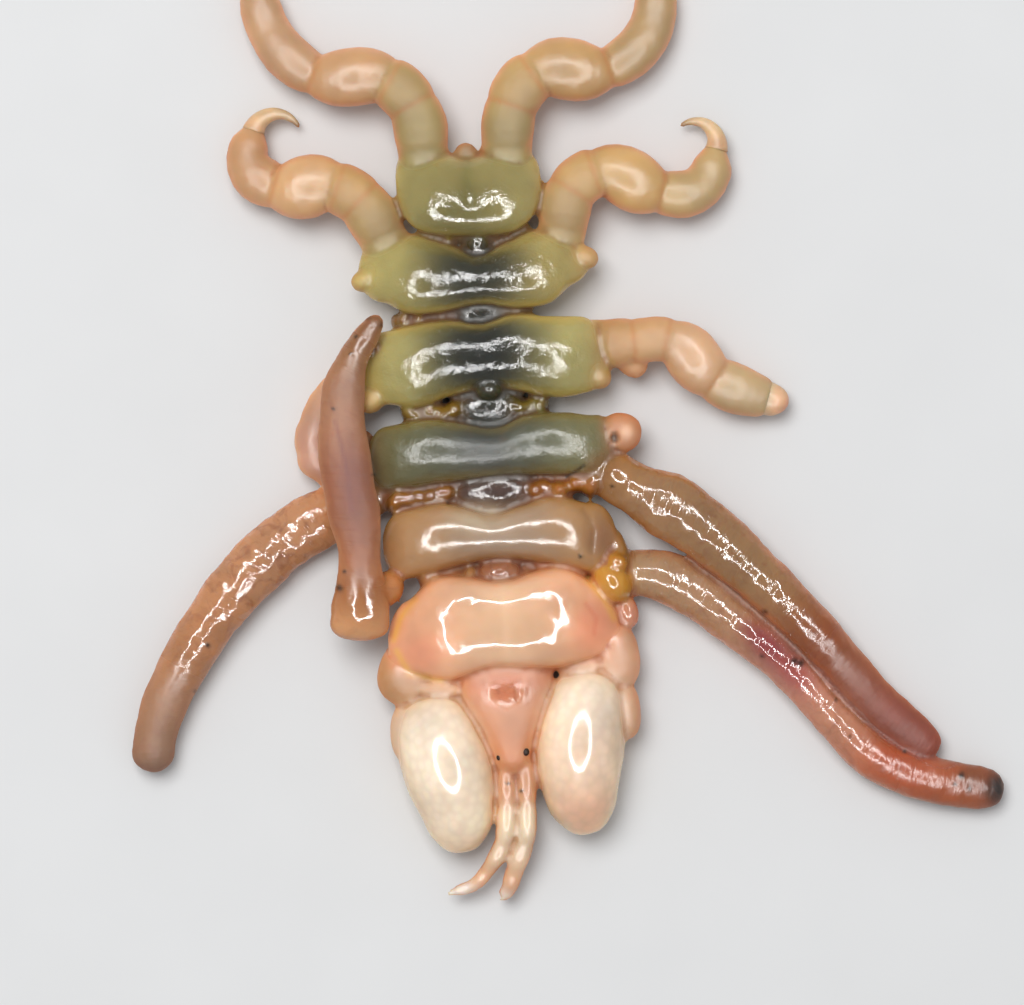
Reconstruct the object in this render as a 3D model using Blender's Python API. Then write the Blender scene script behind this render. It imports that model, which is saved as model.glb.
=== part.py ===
"""A whale louse, an adult male of a kind with one gill at each gill root, at life size.

The animal lies on its belly, head towards -Y, tail towards +Y, its back up. Its left side is +X.
Sizes below are in millimetres; each finished piece is brought to metres. Lengths along a limb or
a gill are measured level with the floor, headings are in degrees from +X, turning towards +Y.
"""
import math
from collections import namedtuple

import bmesh
import bpy
from mathutils import Matrix, Vector

MM = 0.001

# Driving sizes of the whole animal
GAP = 0.15
CLEARANCE = 0.12
EYE_GAP = 0.05
BODY_HALF_HEIGHT = 0.90
FLOOR = 0.0
CENTRE_SHIFT = Vector((-1.22, -1.14, 0.0))

# Fineness of the solids
LIMB_SIDES = 10
GILL_SIDES = 10
CLAW_SIDES = 8
CLAW_RINGS = 5
BODY_SIDES = 12
TRACE_STEP = 0.02
RING_SPACING = 0.42
TIP_ANGLES = (38, 66)

# Colours and finish of each kind of surface
PALE_ORANGE = (0.80, 0.52, 0.36)
CREAM = (0.80, 0.68, 0.54)
OLIVE = (0.38, 0.33, 0.15)
GREY_OLIVE = (0.24, 0.21, 0.12)
TAN = (0.42, 0.28, 0.16)
LEG_TAN = (0.56, 0.38, 0.22)
GILL_BROWN = (0.42, 0.20, 0.11)
CLAW_BROWN = (0.34, 0.16, 0.07)
EYE_BLACK = (0.02, 0.015, 0.015)
WET = 0.25

Finish = namedtuple("Finish", "colour roughness")
SKINS = {
    "peach_cuticle": Finish(PALE_ORANGE, WET),
    "hand_cuticle": Finish(CREAM, WET),
    "olive_cuticle": Finish(OLIVE, WET),
    "grey_cuticle": Finish(GREY_OLIVE, WET),
    "tan_cuticle": Finish(TAN, WET),
    "leg_cuticle": Finish(LEG_TAN, WET),
    "gill_skin": Finish(GILL_BROWN, WET),
    "claw_horn": Finish(CLAW_BROWN, 0.3),
    "eye": Finish(EYE_BLACK, 0.15),
}

# One article of a limb, or one reach of a gill: its length, its widest width and its height, the
# heading at its middle and the height of its axis over the floor there
Article = namedtuple("Article", "length width height heading level")

# Where a limb or a gill leaves its segment: the centre, heading and size of the flat root face
Root = namedtuple("Root", "place heading width height")

# A segment of the trunk: where its middle lies along the body, how far it reaches to each side,
# half its fore and aft length at the middle and in the side lobes, how far the lobes lean
# tailwards, where along the half width the lobe is fullest, and the level of its axis
Segment = namedtuple("Segment", "y reach mid lobe lean fullest level")

# Claw of a leg: how it turns (heading, pitch), its length, its base and the width of its tip
LegClaw = namedtuple("LegClaw", "turns length base tip")


# A closed body drawn through cross sections, with the number of sides of each section and how
# square it is: 2 is an ellipse
Form = namedtuple("Form", "sections sides squareness", defaults=(2.3,))

# Trunk segments from the second, which carries the hands, to the seventh
SEGMENTS = {
    2: Segment(y=-3.94, reach=2.60, mid=1.02, lobe=1.04, lean=0.02, fullest=0.45, level=0.96),
    3: Segment(y=-2.02, reach=2.66, mid=0.62, lobe=0.90, lean=0.05, fullest=0.72, level=0.86),
    4: Segment(y=-0.05, reach=2.78, mid=0.64, lobe=0.86, lean=0.02, fullest=0.74, level=0.86),
    5: Segment(y=1.97, reach=2.72, mid=0.82, lobe=0.92, lean=0.03, fullest=0.74, level=0.86),
    6: Segment(y=3.90, reach=2.50, mid=0.60, lobe=0.88, lean=0.20, fullest=0.70, level=0.86),
    7: Segment(y=5.80, reach=1.62, mid=0.88, lobe=0.94, lean=0.04, fullest=0.60, level=0.86),
}
SEGMENT_SKINS = {
    2: "peach_cuticle", 3: "tan_cuticle", 4: "grey_cuticle",
    5: "olive_cuticle", 6: "olive_cuticle", 7: "olive_cuticle",
}

# Where the cross bars of the segments are drawn, as shares of the half width, and how they round
# off at their ends: the share where the rounding would close, how square it is and how much of
# the height stays at the very end
BAR_MARKS = (0.0, 0.25, 0.50, 0.70, 0.84, 0.94, 1.0)
BAR_CLOSES = 1.04
BAR_ROUNDING = 2.6
BAR_END_HEIGHT = 0.35
BAR_SQUARENESS = 2.5

# The soft joints between segments: how far along the body, how wide and how high
JOINT_WIDTH = 2.3
JOINT_HEIGHT = 1.15
JOINT_LEVEL = 0.70
JOINT_SQUARENESS = 3.0
JOINTS = {(2, 3): -2.83, (3, 4): -1.00, (4, 5): 0.92, (5, 6): 3.05, (6, 7): 4.75}
HEAD_JOINT = -5.02

# Roots of the legs, gills, arms and abdomen on their segments
LEG_ROOTS = {
    (5, "left"): Root((2.72, 2.20, 0.90), -5, 1.10, 0.95),
    (5, "right"): Root((-2.66, 1.90, 0.56), 204, 0.90, 0.80),
    (6, "left"): Root((2.02, 4.88, 0.95), 75, 1.04, 1.05),
    (6, "right"): Root((-2.04, 4.98, 0.95), 112, 1.04, 1.05),
    (7, "left"): Root((0.92, 6.76, 1.00), 85, 1.10, 1.05),
    (7, "right"): Root((-0.98, 6.80, 1.00), 91, 1.10, 1.05),
}
LEG_REACH = 1.0

# Legs: basis, knee, carpus, heel and palm of the last article, then the claw
LEGS = {
    (7, "right"): [
        Article(1.10, 1.38, 1.15, 92, 1.05), Article(0.75, 1.20, 1.10, 130, 1.10),
        Article(1.75, 1.26, 1.05, 186, 0.85), Article(0.95, 1.10, 1.00, 138, 0.60),
        Article(2.00, 0.92, 0.90, 100, 0.43)],
    (7, "left"): [
        Article(0.95, 1.25, 1.15, 84, 1.05), Article(0.85, 1.25, 1.10, 52, 1.10),
        Article(1.75, 1.42, 1.05, -16, 0.85), Article(0.95, 1.12, 1.00, 30, 0.60),
        Article(2.00, 0.94, 0.90, 84, 0.43)],
    (6, "right"): [
        Article(0.95, 1.35, 1.15, 112, 1.05), Article(0.60, 1.20, 1.10, 145, 1.10),
        Article(1.45, 1.48, 1.10, 188, 0.85), Article(0.70, 1.06, 1.00, 145, 0.58),
        Article(1.05, 0.90, 0.90, 68, 0.43)],
    (6, "left"): [
        Article(0.85, 1.35, 1.15, 78, 1.05), Article(0.65, 1.20, 1.10, 35, 1.10),
        Article(1.65, 1.38, 1.10, -38, 0.85), Article(0.80, 1.08, 1.00, -5, 0.60),
        Article(1.30, 0.93, 0.90, 72, 0.43)],
    (5, "left"): [
        Article(0.70, 1.15, 1.05, 0, 0.95), Article(0.75, 1.00, 0.95, 4, 1.00),
        Article(1.45, 1.25, 1.00, -58, 0.80), Article(0.90, 1.10, 0.94, -24, 0.55),
        Article(0.50, 1.00, 0.84, -20, 0.47)],
    (5, "right"): [
        Article(1.05, 0.92, 0.84, 206, 0.50), Article(0.50, 0.90, 0.84, 240, 0.46),
        Article(0.70, 1.05, 0.88, 264, 0.45), Article(0.35, 1.05, 0.88, 285, 0.45),
        Article(0.25, 0.72, 0.80, 310, 0.42)],
}
LEG_WAIST = 0.86
LEG_TIPS = {5: (0.74, 0.64), 6: (0.64, 0.62), 7: (0.66, 0.62)}

# The claw of the left fifth leg is worn down to a blunt stub
CLAW_TIP = 0.13
LEG_CLAWS = {
    (7, "right"): LegClaw((-85, -30), 1.5, (0.56, 0.54), CLAW_TIP),
    (7, "left"): LegClaw((85, -30), 1.5, (0.56, 0.54), CLAW_TIP),
    (6, "right"): LegClaw((-130, -15), 1.12, (0.56, 0.54), CLAW_TIP),
    (6, "left"): LegClaw((140, -15), 1.08, (0.56, 0.54), CLAW_TIP),
    (5, "left"): LegClaw((-18, -8), 0.24, (0.66, 0.56), 0.50),
    (5, "right"): LegClaw((110, -10), 0.50, (0.50, 0.50), CLAW_TIP),
}

# Gills of the third and fourth segments, each reach of them about one millimetre
GILL_ROOTS = {
    (4, "right"): Root((-2.66, -0.76, 0.50), 204, 0.84, 0.78),
    (3, "right"): Root((-2.50, -2.84, 1.16), 202, 0.60, 0.72),
    (4, "left"): Root((2.70, -0.80, 0.78), -34, 1.00, 0.88),
    (3, "left"): Root((2.80, -3.03, 0.60), 0, 0.92, 0.86),
}
GILLS = {
    (4, "right"): [
        Article(1.15, 1.02, 0.82, 198, 0.42), Article(1.10, 1.26, 0.92, 205, 0.47),
        Article(1.20, 1.30, 1.00, 219, 0.51), Article(1.30, 1.24, 1.02, 226, 0.52),
        Article(1.30, 1.15, 1.02, 234, 0.52), Article(1.20, 1.05, 1.00, 240, 0.51),
        Article(1.30, 0.98, 0.96, 257, 0.48)],
    (4, "left"): [
        Article(0.90, 1.12, 0.98, -33, 0.80), Article(1.15, 1.44, 1.12, -33, 0.86),
        Article(1.30, 1.34, 1.12, -44, 0.86), Article(1.40, 1.18, 1.08, -47.5, 0.80),
        Article(1.60, 1.08, 1.02, -51.5, 0.68), Article(1.55, 1.00, 0.96, -54.5, 0.54),
        Article(1.85, 0.92, 0.86, -43, 0.45)],
    (3, "left"): [
        Article(0.65, 1.00, 0.92, -3, 0.50), Article(1.10, 1.20, 0.98, -30, 0.50),
        Article(1.30, 1.10, 0.98, -44, 0.49), Article(1.40, 1.00, 0.98, -43, 0.49),
        Article(1.40, 0.95, 0.95, -53, 0.48), Article(1.40, 0.96, 0.95, -54, 0.49),
        Article(1.45, 1.00, 0.94, -24, 0.48), Article(1.62, 1.02, 0.80, -11, 0.41)],
}
GILL_TIPS = {(4, "right"): (0.92, 0.90), (4, "left"): (0.78, 0.70), (3, "left"): (0.80, 0.66)}
GILL_NODE_NAMES = ("root", "middle", "tip")

# The gill that is folded back along the animal's right side starts with a blunt elbow
FOLDED_GILL = [
    Article(1.25, 1.24, 0.95, 84, 1.50), Article(1.10, 0.98, 0.86, 88, 1.58),
    Article(1.20, 1.16, 0.84, 97, 1.58), Article(1.30, 1.14, 0.84, 93, 1.58),
    Article(1.35, 0.96, 0.82, 80, 1.58), Article(1.35, 0.60, 0.60, 54, 1.62)]
FOLDED_ELBOW = Root((-3.26, -4.04, 1.42), 84, 1.34, 0.80)
FOLDED_TIP = (0.36, 0.36)
FOLDED_STALK = 0.55
FOLDED_ROUNDING = 0.25
FOLDED_END_SWELLS = (0.55, 0.86)

# Abdomen: a small knob behind the seventh segment, between the last legs
ABDOMEN_ROOT = Root((-0.03, 6.78, 0.85), 90, 0.42, 0.50)
ABDOMEN = Article(0.42, 0.44, 0.50, 90, 0.85)
ABDOMEN_TIP = (0.36, 0.40)

# Arms: two swollen articles from the second segment's front corner along the hand's outer side
ARM_ROOTS = {
    (2, "left"): Root((2.42, -4.62, 0.76), -76, 0.90, 0.86),
    (2, "right"): Root((-2.36, -4.66, 0.76), 250, 0.90, 0.86),
}
ARMS = {
    "left": [Article(1.05, 1.16, 0.98, -82, 0.76), Article(1.05, 0.80, 0.86, -90, 0.74)],
    "right": [Article(1.05, 1.24, 0.98, 256, 0.76), Article(1.15, 0.82, 0.86, 270, 0.74)],
}
ARM_TIP = (0.62, 0.66)

# Hands: long, blunt ovals that lie beside the head, with the claw folded under them
HAND_ROOTS = {
    "left": Root((1.92, -5.20, 1.18), -104, 1.15, 0.90),
    "right": Root((-2.00, -5.54, 1.18), 295, 1.20, 0.90),
}
HANDS = {
    "left": [
        Article(1.10, 1.88, 1.36, -108, 1.20), Article(1.28, 2.00, 1.42, -99, 1.24),
        Article(1.36, 1.70, 1.26, -83, 1.24)],
    "right": [
        Article(1.12, 1.92, 1.36, 291, 1.20), Article(1.22, 2.02, 1.42, 282, 1.24),
        Article(1.26, 1.66, 1.26, 269, 1.24)],
}
HAND_TIP = (1.38, 1.02)
KNUCKLE_BACK = 0.55
KNUCKLE_DROP = 0.45
KNUCKLE_SIZE = (0.55, 0.50)
KNUCKLE_LENGTH = 0.80
KNUCKLE_AIM = -80.0
KNUCKLE_TURN = (0.0, 65.0)
KNUCKLE_RINGS = 3
HAND_CLAW_BASE = (0.50, 0.46)
HAND_CLAW_LENGTH = 1.70
HAND_CLAW_AIM = -15.0
HAND_CLAW_TURN = (0.0, 12.0)
HAND_WAIST = 0.99

# Small lobes at the gill roots, the accessory gills
LOBE_ROOTS = {
    (4, "left"): Root((2.88, 0.12, 0.95), 6, 0.50, 0.50),
    (3, "left"): Root((2.78, -3.00, 1.34), -62, 0.40, 0.40),
    (4, "right"): Root((-2.88, 0.40, 0.45), 178, 0.36, 0.50),
    (3, "right"): Root((-2.62, -2.98, 0.46), 225, 0.36, 0.40),
}
LOBE_TAPER = 0.8
LOBES = {
    (4, "left"): (0.72, 0.80, 0.80),
    (3, "left"): (0.90, 0.62, 0.55),
    (4, "right"): (0.40, 0.60, 0.70),
    (3, "right"): (0.55, 0.50, 0.50),
}

# Head: a flat shield that narrows forward, as rows of place along the body, width, height, level
HEAD_ROWS = [
    (-5.10, 2.00, 1.05, 1.02), (-5.35, 2.26, 1.20, 1.05), (-5.75, 2.00, 1.18, 1.10),
    (-6.20, 1.52, 1.08, 1.14), (-6.65, 1.16, 0.98, 1.16), (-7.00, 0.98, 0.84, 1.16),
    (-7.24, 0.86, 0.62, 1.16),
]
HEAD_MIDDLE = -0.03
EYE_RADIUS = 0.11
BALL_ANGLES = (-70, -38, 0, 38, 70)
EYE_PLACES = {"left": (0.27, -6.86, 1.50), "right": (-0.33, -6.90, 1.50)}

# First antennae: two stout articles and a bent, tapering whip, laid side by side
ANTENNA_ROOTS = {
    "left": Root((0.25, -7.40, 1.18), -88, 0.42, 0.42),
    "right": Root((-0.25, -7.40, 1.18), -96, 0.42, 0.42),
}
ANTENNAE = {
    "left": [
        Article(0.65, 0.46, 0.46, -88, 1.18), Article(0.80, 0.45, 0.45, -92, 1.05),
        Article(0.75, 0.42, 0.42, -118, 0.85), Article(0.75, 0.34, 0.34, -125, 0.62),
        Article(0.55, 0.26, 0.26, -165, 0.50)],
    "right": [
        Article(0.65, 0.45, 0.46, -95, 1.18), Article(0.80, 0.45, 0.45, -102, 1.05),
        Article(0.65, 0.42, 0.42, -121, 0.85), Article(0.60, 0.34, 0.34, -125, 0.62),
        Article(0.50, 0.26, 0.26, -178, 0.50)],
}
ANTENNA_WAIST = 0.92
ANTENNA_TIP = (0.16, 0.16)

# Second antennae: two short feelers under the head's front
FEELER_ROOTS = {
    "left": Root((0.26, -7.06, 0.58), -75, 0.40, 0.24),
    "right": Root((-0.34, -7.06, 0.58), -105, 0.40, 0.24),
}
FEELER = Article(0.60, 0.40, 0.28, -90, 0.50)
FEELER_TIP = (0.16, 0.16)
ANTENNA_STALK = 0.6
FEELER_STALK = 0.35
FINE_RING_SPACING = 0.22

# Mouthparts: a blunt cone under the head; first gnathopods: two small arms behind it
MOUTH_ROWS = [
    (-6.18, 0.50, 0.34, 0.28), (-6.40, 0.62, 0.42, 0.24), (-6.68, 0.52, 0.34, 0.20),
    (-6.92, 0.30, 0.24, 0.17),
]
SMALL_ARM_ROOTS = {
    "left": Root((0.34, -5.18, 0.21), -70, 0.50, 0.38),
    "right": Root((-0.38, -5.18, 0.21), -110, 0.50, 0.38),
}
SMALL_ARMS = {
    "left": [Article(0.40, 0.50, 0.40, -70, 0.20), Article(0.55, 0.56, 0.40, -86, 0.20)],
    "right": [Article(0.40, 0.50, 0.40, -110, 0.20), Article(0.55, 0.56, 0.40, -94, 0.20)],
}
SMALL_ARM_WAIST = 0.9
SMALL_ARM_TIP = (0.34, 0.34)
SMALL_CLAW_LENGTH = 0.46
SMALL_CLAW_BASE = (0.30, 0.28)
SMALL_CLAW_TURNS = {"left": (-34.0, 0.0), "right": (34.0, 0.0)}

# The main form of each finished piece, by name, that later pieces are kept clear of
main_forms = {}


def skin_material(name):
    """Makes one plain glossy material, or returns it where it is there already."""
    material = bpy.data.materials.get(name)
    if material:
        return material
    finish = SKINS[name]
    material = bpy.data.materials.new(name)
    material.use_nodes = True
    shader = material.node_tree.nodes["Principled BSDF"]
    shader.inputs["Base Color"].default_value = (*finish.colour, 1.0)
    shader.inputs["Roughness"].default_value = finish.roughness
    shader.inputs["Metallic"].default_value = 0.0
    material.diffuse_color = (*finish.colour, 1.0)
    return material


def section(place, heading, pitch, width, height):
    """The matrix that lays a unit circle across a path: X to its left, Y up, Z along it."""
    turn = math.radians(heading)
    rise = math.radians(pitch)
    ahead = Vector((math.cos(rise) * math.cos(turn), math.cos(rise) * math.sin(turn), math.sin(rise)))
    left = Vector((-math.sin(turn), math.cos(turn), 0.0))
    up = ahead.cross(left)
    rows = Matrix((left * (width / 2), up * (height / 2), ahead)).transposed()
    return Matrix.Translation(place) @ rows.to_4x4()


def along(face, distance):
    """A section moved straight along its own axis."""
    return Matrix.Translation(face.col[2].to_3d().normalized() * distance) @ face


def grown(form, margin):
    """The form made larger by the same margin on all sides."""
    sections = []
    for face in form.sections:
        wider = face.copy()
        for axis in (0, 1):
            wider.col[axis] = face.col[axis] * (1 + margin / face.col[axis].to_3d().length)
        sections.append(wider)
    sections[0] = along(sections[0], -margin)
    sections[-1] = along(sections[-1], margin)
    return form._replace(sections=sections)


def loft(form):
    """The mesh of a form, with flat ends, cut level at the floor."""
    sections, sides, squareness = form
    bm = bmesh.new()
    disc = bmesh.ops.create_circle(bm, cap_ends=True, segments=sides, radius=1.0)
    for vert in disc["verts"]:
        for axis in (0, 1):
            reach = abs(vert.co[axis])
            vert.co[axis] = math.copysign(reach ** (2 / squareness), vert.co[axis])
    bmesh.ops.transform(bm, matrix=sections[0], verts=bm.verts)
    start_face = bm.faces[:][0]
    end_face = start_face
    for before, after in zip(sections, sections[1:]):
        drawn = bmesh.ops.extrude_face_region(bm, geom=[end_face])["geom"]
        if end_face is not start_face:
            bmesh.ops.delete(bm, geom=[end_face], context="FACES_ONLY")
        ring = [item for item in drawn if isinstance(item, bmesh.types.BMVert)]
        end_face = next(item for item in drawn if isinstance(item, bmesh.types.BMFace))
        bmesh.ops.transform(bm, matrix=after @ before.inverted(), verts=ring)
    for vert in bm.verts:
        vert.co.z = max(vert.co.z, FLOOR)
    bmesh.ops.recalc_face_normals(bm, faces=bm.faces)
    return bm


def raw_object(name, bm):
    mesh = bpy.data.meshes.new(name)
    bm.to_mesh(mesh)
    bm.free()
    shape = bpy.data.objects.new(name, mesh)
    bpy.context.collection.objects.link(shape)
    return shape


def combine(shape, others, operation):
    """Adds the other closed bodies to a shape, or cuts them out of it, and removes them."""
    tools = bpy.data.collections.new("tools")
    bpy.context.scene.collection.children.link(tools)
    for other in others:
        other.hide_render = True
        other.display_type = "WIRE"
        bpy.context.collection.objects.unlink(other)
        tools.objects.link(other)
    boolean = shape.modifiers.new("combine", "BOOLEAN")
    boolean.operand_type = "COLLECTION"
    boolean.collection = tools
    boolean.operation = operation
    boolean.solver = "EXACT"
    evaluated = shape.evaluated_get(bpy.context.evaluated_depsgraph_get())
    mesh = bpy.data.meshes.new_from_object(evaluated)
    shape.modifiers.clear()
    shape.data = mesh
    for other in others:
        bpy.data.objects.remove(other)
    bpy.data.collections.remove(tools)


def keep_largest(bm):
    """Leaves only the closed surface that has the most faces."""
    waiting = set(bm.faces)
    shells = []
    while waiting:
        shell = set()
        front = [waiting.pop()]
        while front:
            face = front.pop()
            shell.add(face)
            for edge in face.edges:
                for other in edge.link_faces:
                    if other in waiting:
                        waiting.remove(other)
                        front.append(other)
        shells.append(shell)
    largest = max(shells, key=len)
    scraps = [face for shell in shells if shell is not largest for face in shell]
    if scraps:
        bmesh.ops.delete(bm, geom=scraps, context="FACES")


def node(name, skin, forms, cutters=(), clear_of=()):
    """One named piece of the animal, fused from its forms, and then cut by the cutters and where
    it would come nearer than the clearance to the pieces in clear_of, and brought to metres."""
    shape = raw_object(name, loft(forms[0]))
    if len(forms) > 1:
        combine(shape, [raw_object(name + "_add", loft(form)) for form in forms[1:]], "UNION")
    for form in [*cutters, *(grown(main_forms[other], CLEARANCE) for other in clear_of)]:
        combine(shape, [raw_object(name + "_cut", loft(form))], "DIFFERENCE")
    main_forms[name] = forms[0]
    bm = bmesh.new()
    bm.from_mesh(shape.data)
    keep_largest(bm)
    bmesh.ops.translate(bm, vec=CENTRE_SHIFT, verts=bm.verts)
    bmesh.ops.scale(bm, vec=(MM, MM, MM), verts=bm.verts)
    bm.to_mesh(shape.data)
    bm.free()
    shape.data.shade_smooth()
    shape.data.set_sharp_from_angle(angle=math.radians(50))
    shape.data.materials.clear()
    shape.data.materials.append(skin_material(skin))
    return shape


def eased(keys, distance):
    """A value that runs smoothly from key to key, each key a distance and its value."""
    if distance <= keys[0][0]:
        return keys[0][1]
    for (start, low), (end, high) in zip(keys, keys[1:]):
        if distance <= end:
            share = (distance - start) / (end - start)
            return low + (high - low) * share * share * (3 - 2 * share)
    return keys[-1][1]


def steady(keys, distance):
    """A value that runs evenly from key to key."""
    if distance <= keys[0][0]:
        return keys[0][1]
    for (start, low), (end, high) in zip(keys, keys[1:]):
        if distance <= end:
            return low + (high - low) * (distance - start) / (end - start)
    return keys[-1][1]


class Trace:
    """The course of a limb or gill from its root face, read from its articles."""

    def __init__(self, root, articles, waist, tip=None):
        heads = [(0.0, root.heading)]
        widths = [(0.0, root.width)]
        heights = [(0.0, root.height)]
        levels = [(0.0, root.place[2])]
        self.joints = [0.0]
        for index, article in enumerate(articles):
            start = self.joints[-1]
            middle = start + article.length / 2
            end = start + article.length
            heads.append((middle, article.heading))
            widths.append((middle, article.width))
            heights.append((middle, article.height))
            levels.append((middle, article.level))
            if index + 1 < len(articles):
                following = articles[index + 1]
                widths.append((end, waist * (article.width + following.width) / 2))
                heights.append((end, waist * (article.height + following.height) / 2))
            self.joints.append(end)
        if tip:
            widths.append((self.joints[-1], tip[0]))
            heights.append((self.joints[-1], tip[1]))
        self.heads = heads
        self.widths = widths
        self.heights = heights
        self.levels = levels
        self.places = [Vector((root.place[0], root.place[1]))]
        steps = int(self.joints[-1] / TRACE_STEP) + 2
        for index in range(steps):
            turn = math.radians(steady(heads, (index + 0.5) * TRACE_STEP))
            stride = Vector((math.cos(turn), math.sin(turn))) * TRACE_STEP
            self.places.append(self.places[-1] + stride)

    def section(self, distance, swell=1.0):
        """The cross section at a distance along the course."""
        index = min(int(distance / TRACE_STEP), len(self.places) - 2)
        share = distance / TRACE_STEP - index
        flat = self.places[index].lerp(self.places[index + 1], share)
        level = eased(self.levels, distance)
        rise = eased(self.levels, distance + TRACE_STEP) - eased(self.levels, distance - TRACE_STEP)
        pitch = math.degrees(math.atan2(rise, 2 * TRACE_STEP))
        place = Vector((flat.x, flat.y, level))
        width = eased(self.widths, distance) * swell
        height = eased(self.heights, distance) * swell
        return section(place, steady(self.heads, distance), pitch, width, height)

    def body(self, start, end, sides, spacing=RING_SPACING):
        """A closed length of the course. It ends flat, half a gap short of a joint that it
        shares with the next piece, or in full at the root and at the free end."""
        count = max(2, round((end - start) / spacing))
        sections = [self.section(start + (end - start) * index / count) for index in range(count + 1)]
        if start > 0.0:
            sections[0] = along(sections[0], GAP / 2)
        if end < self.joints[-1]:
            sections[-1] = along(sections[-1], -GAP / 2)
        return Form(sections, sides)

    def round_tip(self, start, sides, spacing=RING_SPACING):
        """The last length of the course, rounded off at its free end."""
        end = self.joints[-1]
        radius = eased(self.widths, end) / 2
        straight = max(2, round((end - radius - start) / spacing))
        sections = [self.section(start + (end - radius - start) * k / straight) for k in range(straight + 1)]
        if start > 0.0:
            sections[0] = along(sections[0], GAP / 2)
        for angle in TIP_ANGLES:
            turn = math.radians(angle)
            sections.append(self.section(end - radius + radius * math.sin(turn), math.cos(turn)))
        return Form(sections, sides)


def stub(root, depth):
    """The short stalk of a segment that ends in a flat face one gap before a limb's root."""
    face = section(Vector(root.place), root.heading, 0.0, root.width, root.height)
    return Form([along(face, -depth), along(face, -GAP)], LIMB_SIDES)


def hook(place, aim, turns, length, base, tip, rings=CLAW_RINGS):
    """The sections of a hooked, tapering claw: it leaves a place at an aim of (heading, pitch)
    and turns by `turns` over its length, from the base width and height to the tip width."""
    stride = length / rings
    here = Vector(place)
    sections = [section(here, aim[0], aim[1], base[0], base[1])]
    for index in range(1, rings + 1):
        share = index / rings
        halfway = share - 0.5 / rings
        stretch = section(here, aim[0] + turns[0] * halfway, aim[1] + turns[1] * halfway, 1.0, 1.0)
        here = here + stretch.col[2].to_3d() * stride
        thin = share ** 0.8
        width = base[0] + (tip - base[0]) * thin
        height = base[1] + (tip - base[1]) * thin
        sections.append(section(here, aim[0] + turns[0] * share, aim[1] + turns[1] * share, width, height))
    return sections


def beyond(end):
    """The place one gap past the section that ends a piece, and the heading there."""
    ahead = end.col[2].to_3d().normalized()
    return end.translation + ahead * GAP, math.degrees(math.atan2(ahead.y, ahead.x))


def leg(number, side):
    root = LEG_ROOTS[number, side]
    trace = Trace(root, LEGS[number, side], LEG_WAIST, LEG_TIPS[number])
    name = f"leg_{number}_{side}"
    knee = trace.joints[2]
    wrist = trace.joints[5]
    upper = trace.body(0.0, knee, LIMB_SIDES)
    neighbours = [f"pereonite_{number}"] + (["pereonite_7"] if number == 6 else [])
    node(name + "_upper", "leg_cuticle", [upper], clear_of=neighbours)
    node(name + "_lower", "leg_cuticle", [trace.body(knee, wrist, LIMB_SIDES)])
    place, heading = beyond(trace.section(wrist))
    claw = LEG_CLAWS[number, side]
    sections = hook(place, (heading, 0.0), claw.turns, claw.length, claw.base, claw.tip)
    node(name + "_claw", "claw_horn", [Form(sections, CLAW_SIDES)])


def straight_gill(number, side):
    trace = Trace(GILL_ROOTS[number, side], GILLS[number, side], 1.0, GILL_TIPS[number, side])
    last = len(trace.joints) - 1
    breaks = [0, round(last / 3), round(2 * last / 3), last]
    for index, part_name in enumerate(GILL_NODE_NAMES):
        start = trace.joints[breaks[index]]
        if part_name == "tip":
            body = trace.round_tip(start, GILL_SIDES)
        else:
            body = trace.body(start, trace.joints[breaks[index + 1]], GILL_SIDES)
        neighbours = [f"pereonite_{number}"] if part_name == "root" else []
        if part_name == "root" and (number, side) == (4, "right"):
            neighbours += ["leg_5_right_lower", "leg_5_right_claw"]
        if part_name == "root" and (number, side) == (4, "left"):
            neighbours.append("pereonite_3")
        if (number, side) == (3, "left"):
            neighbours += [f"gill_4_left_{other}" for other in GILL_NODE_NAMES]
        node(f"gill_{number}_{side}_{part_name}", "gill_skin", [body], clear_of=neighbours)


def folded_gill():
    """The right gill of the third segment, laid back towards the tail."""
    root = GILL_ROOTS[3, "right"]
    trace = Trace(FOLDED_ELBOW, FOLDED_GILL, 1.0, FOLDED_TIP)
    face = section(Vector(root.place), root.heading, 0.0, root.width, root.height)
    stalk = Form([face, along(face, FOLDED_STALK)], GILL_SIDES)
    first = trace.joints[2]
    second = trace.joints[4]
    rings = round((first - FOLDED_ROUNDING) / RING_SPACING)
    sections = [trace.section(FOLDED_ROUNDING * step / 3, FOLDED_END_SWELLS[step]) for step in (0, 1)]
    sections += [trace.section(FOLDED_ROUNDING + (first - FOLDED_ROUNDING) * k / rings) for k in range(rings)]
    sections.append(along(trace.section(first), -GAP / 2))
    node("gill_3_right_root", "gill_skin", [Form(sections, GILL_SIDES), stalk],
         clear_of=["pereonite_2", "pereonite_3"])
    node("gill_3_right_middle", "gill_skin", [trace.body(first, second, GILL_SIDES)],
         clear_of=["pereonite_3", "pereonite_4"])
    node("gill_3_right_tip", "gill_skin", [trace.round_tip(second, GILL_SIDES)],
         clear_of=["pereonite_4", "pereonite_5", "pereonite_6"])


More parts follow.
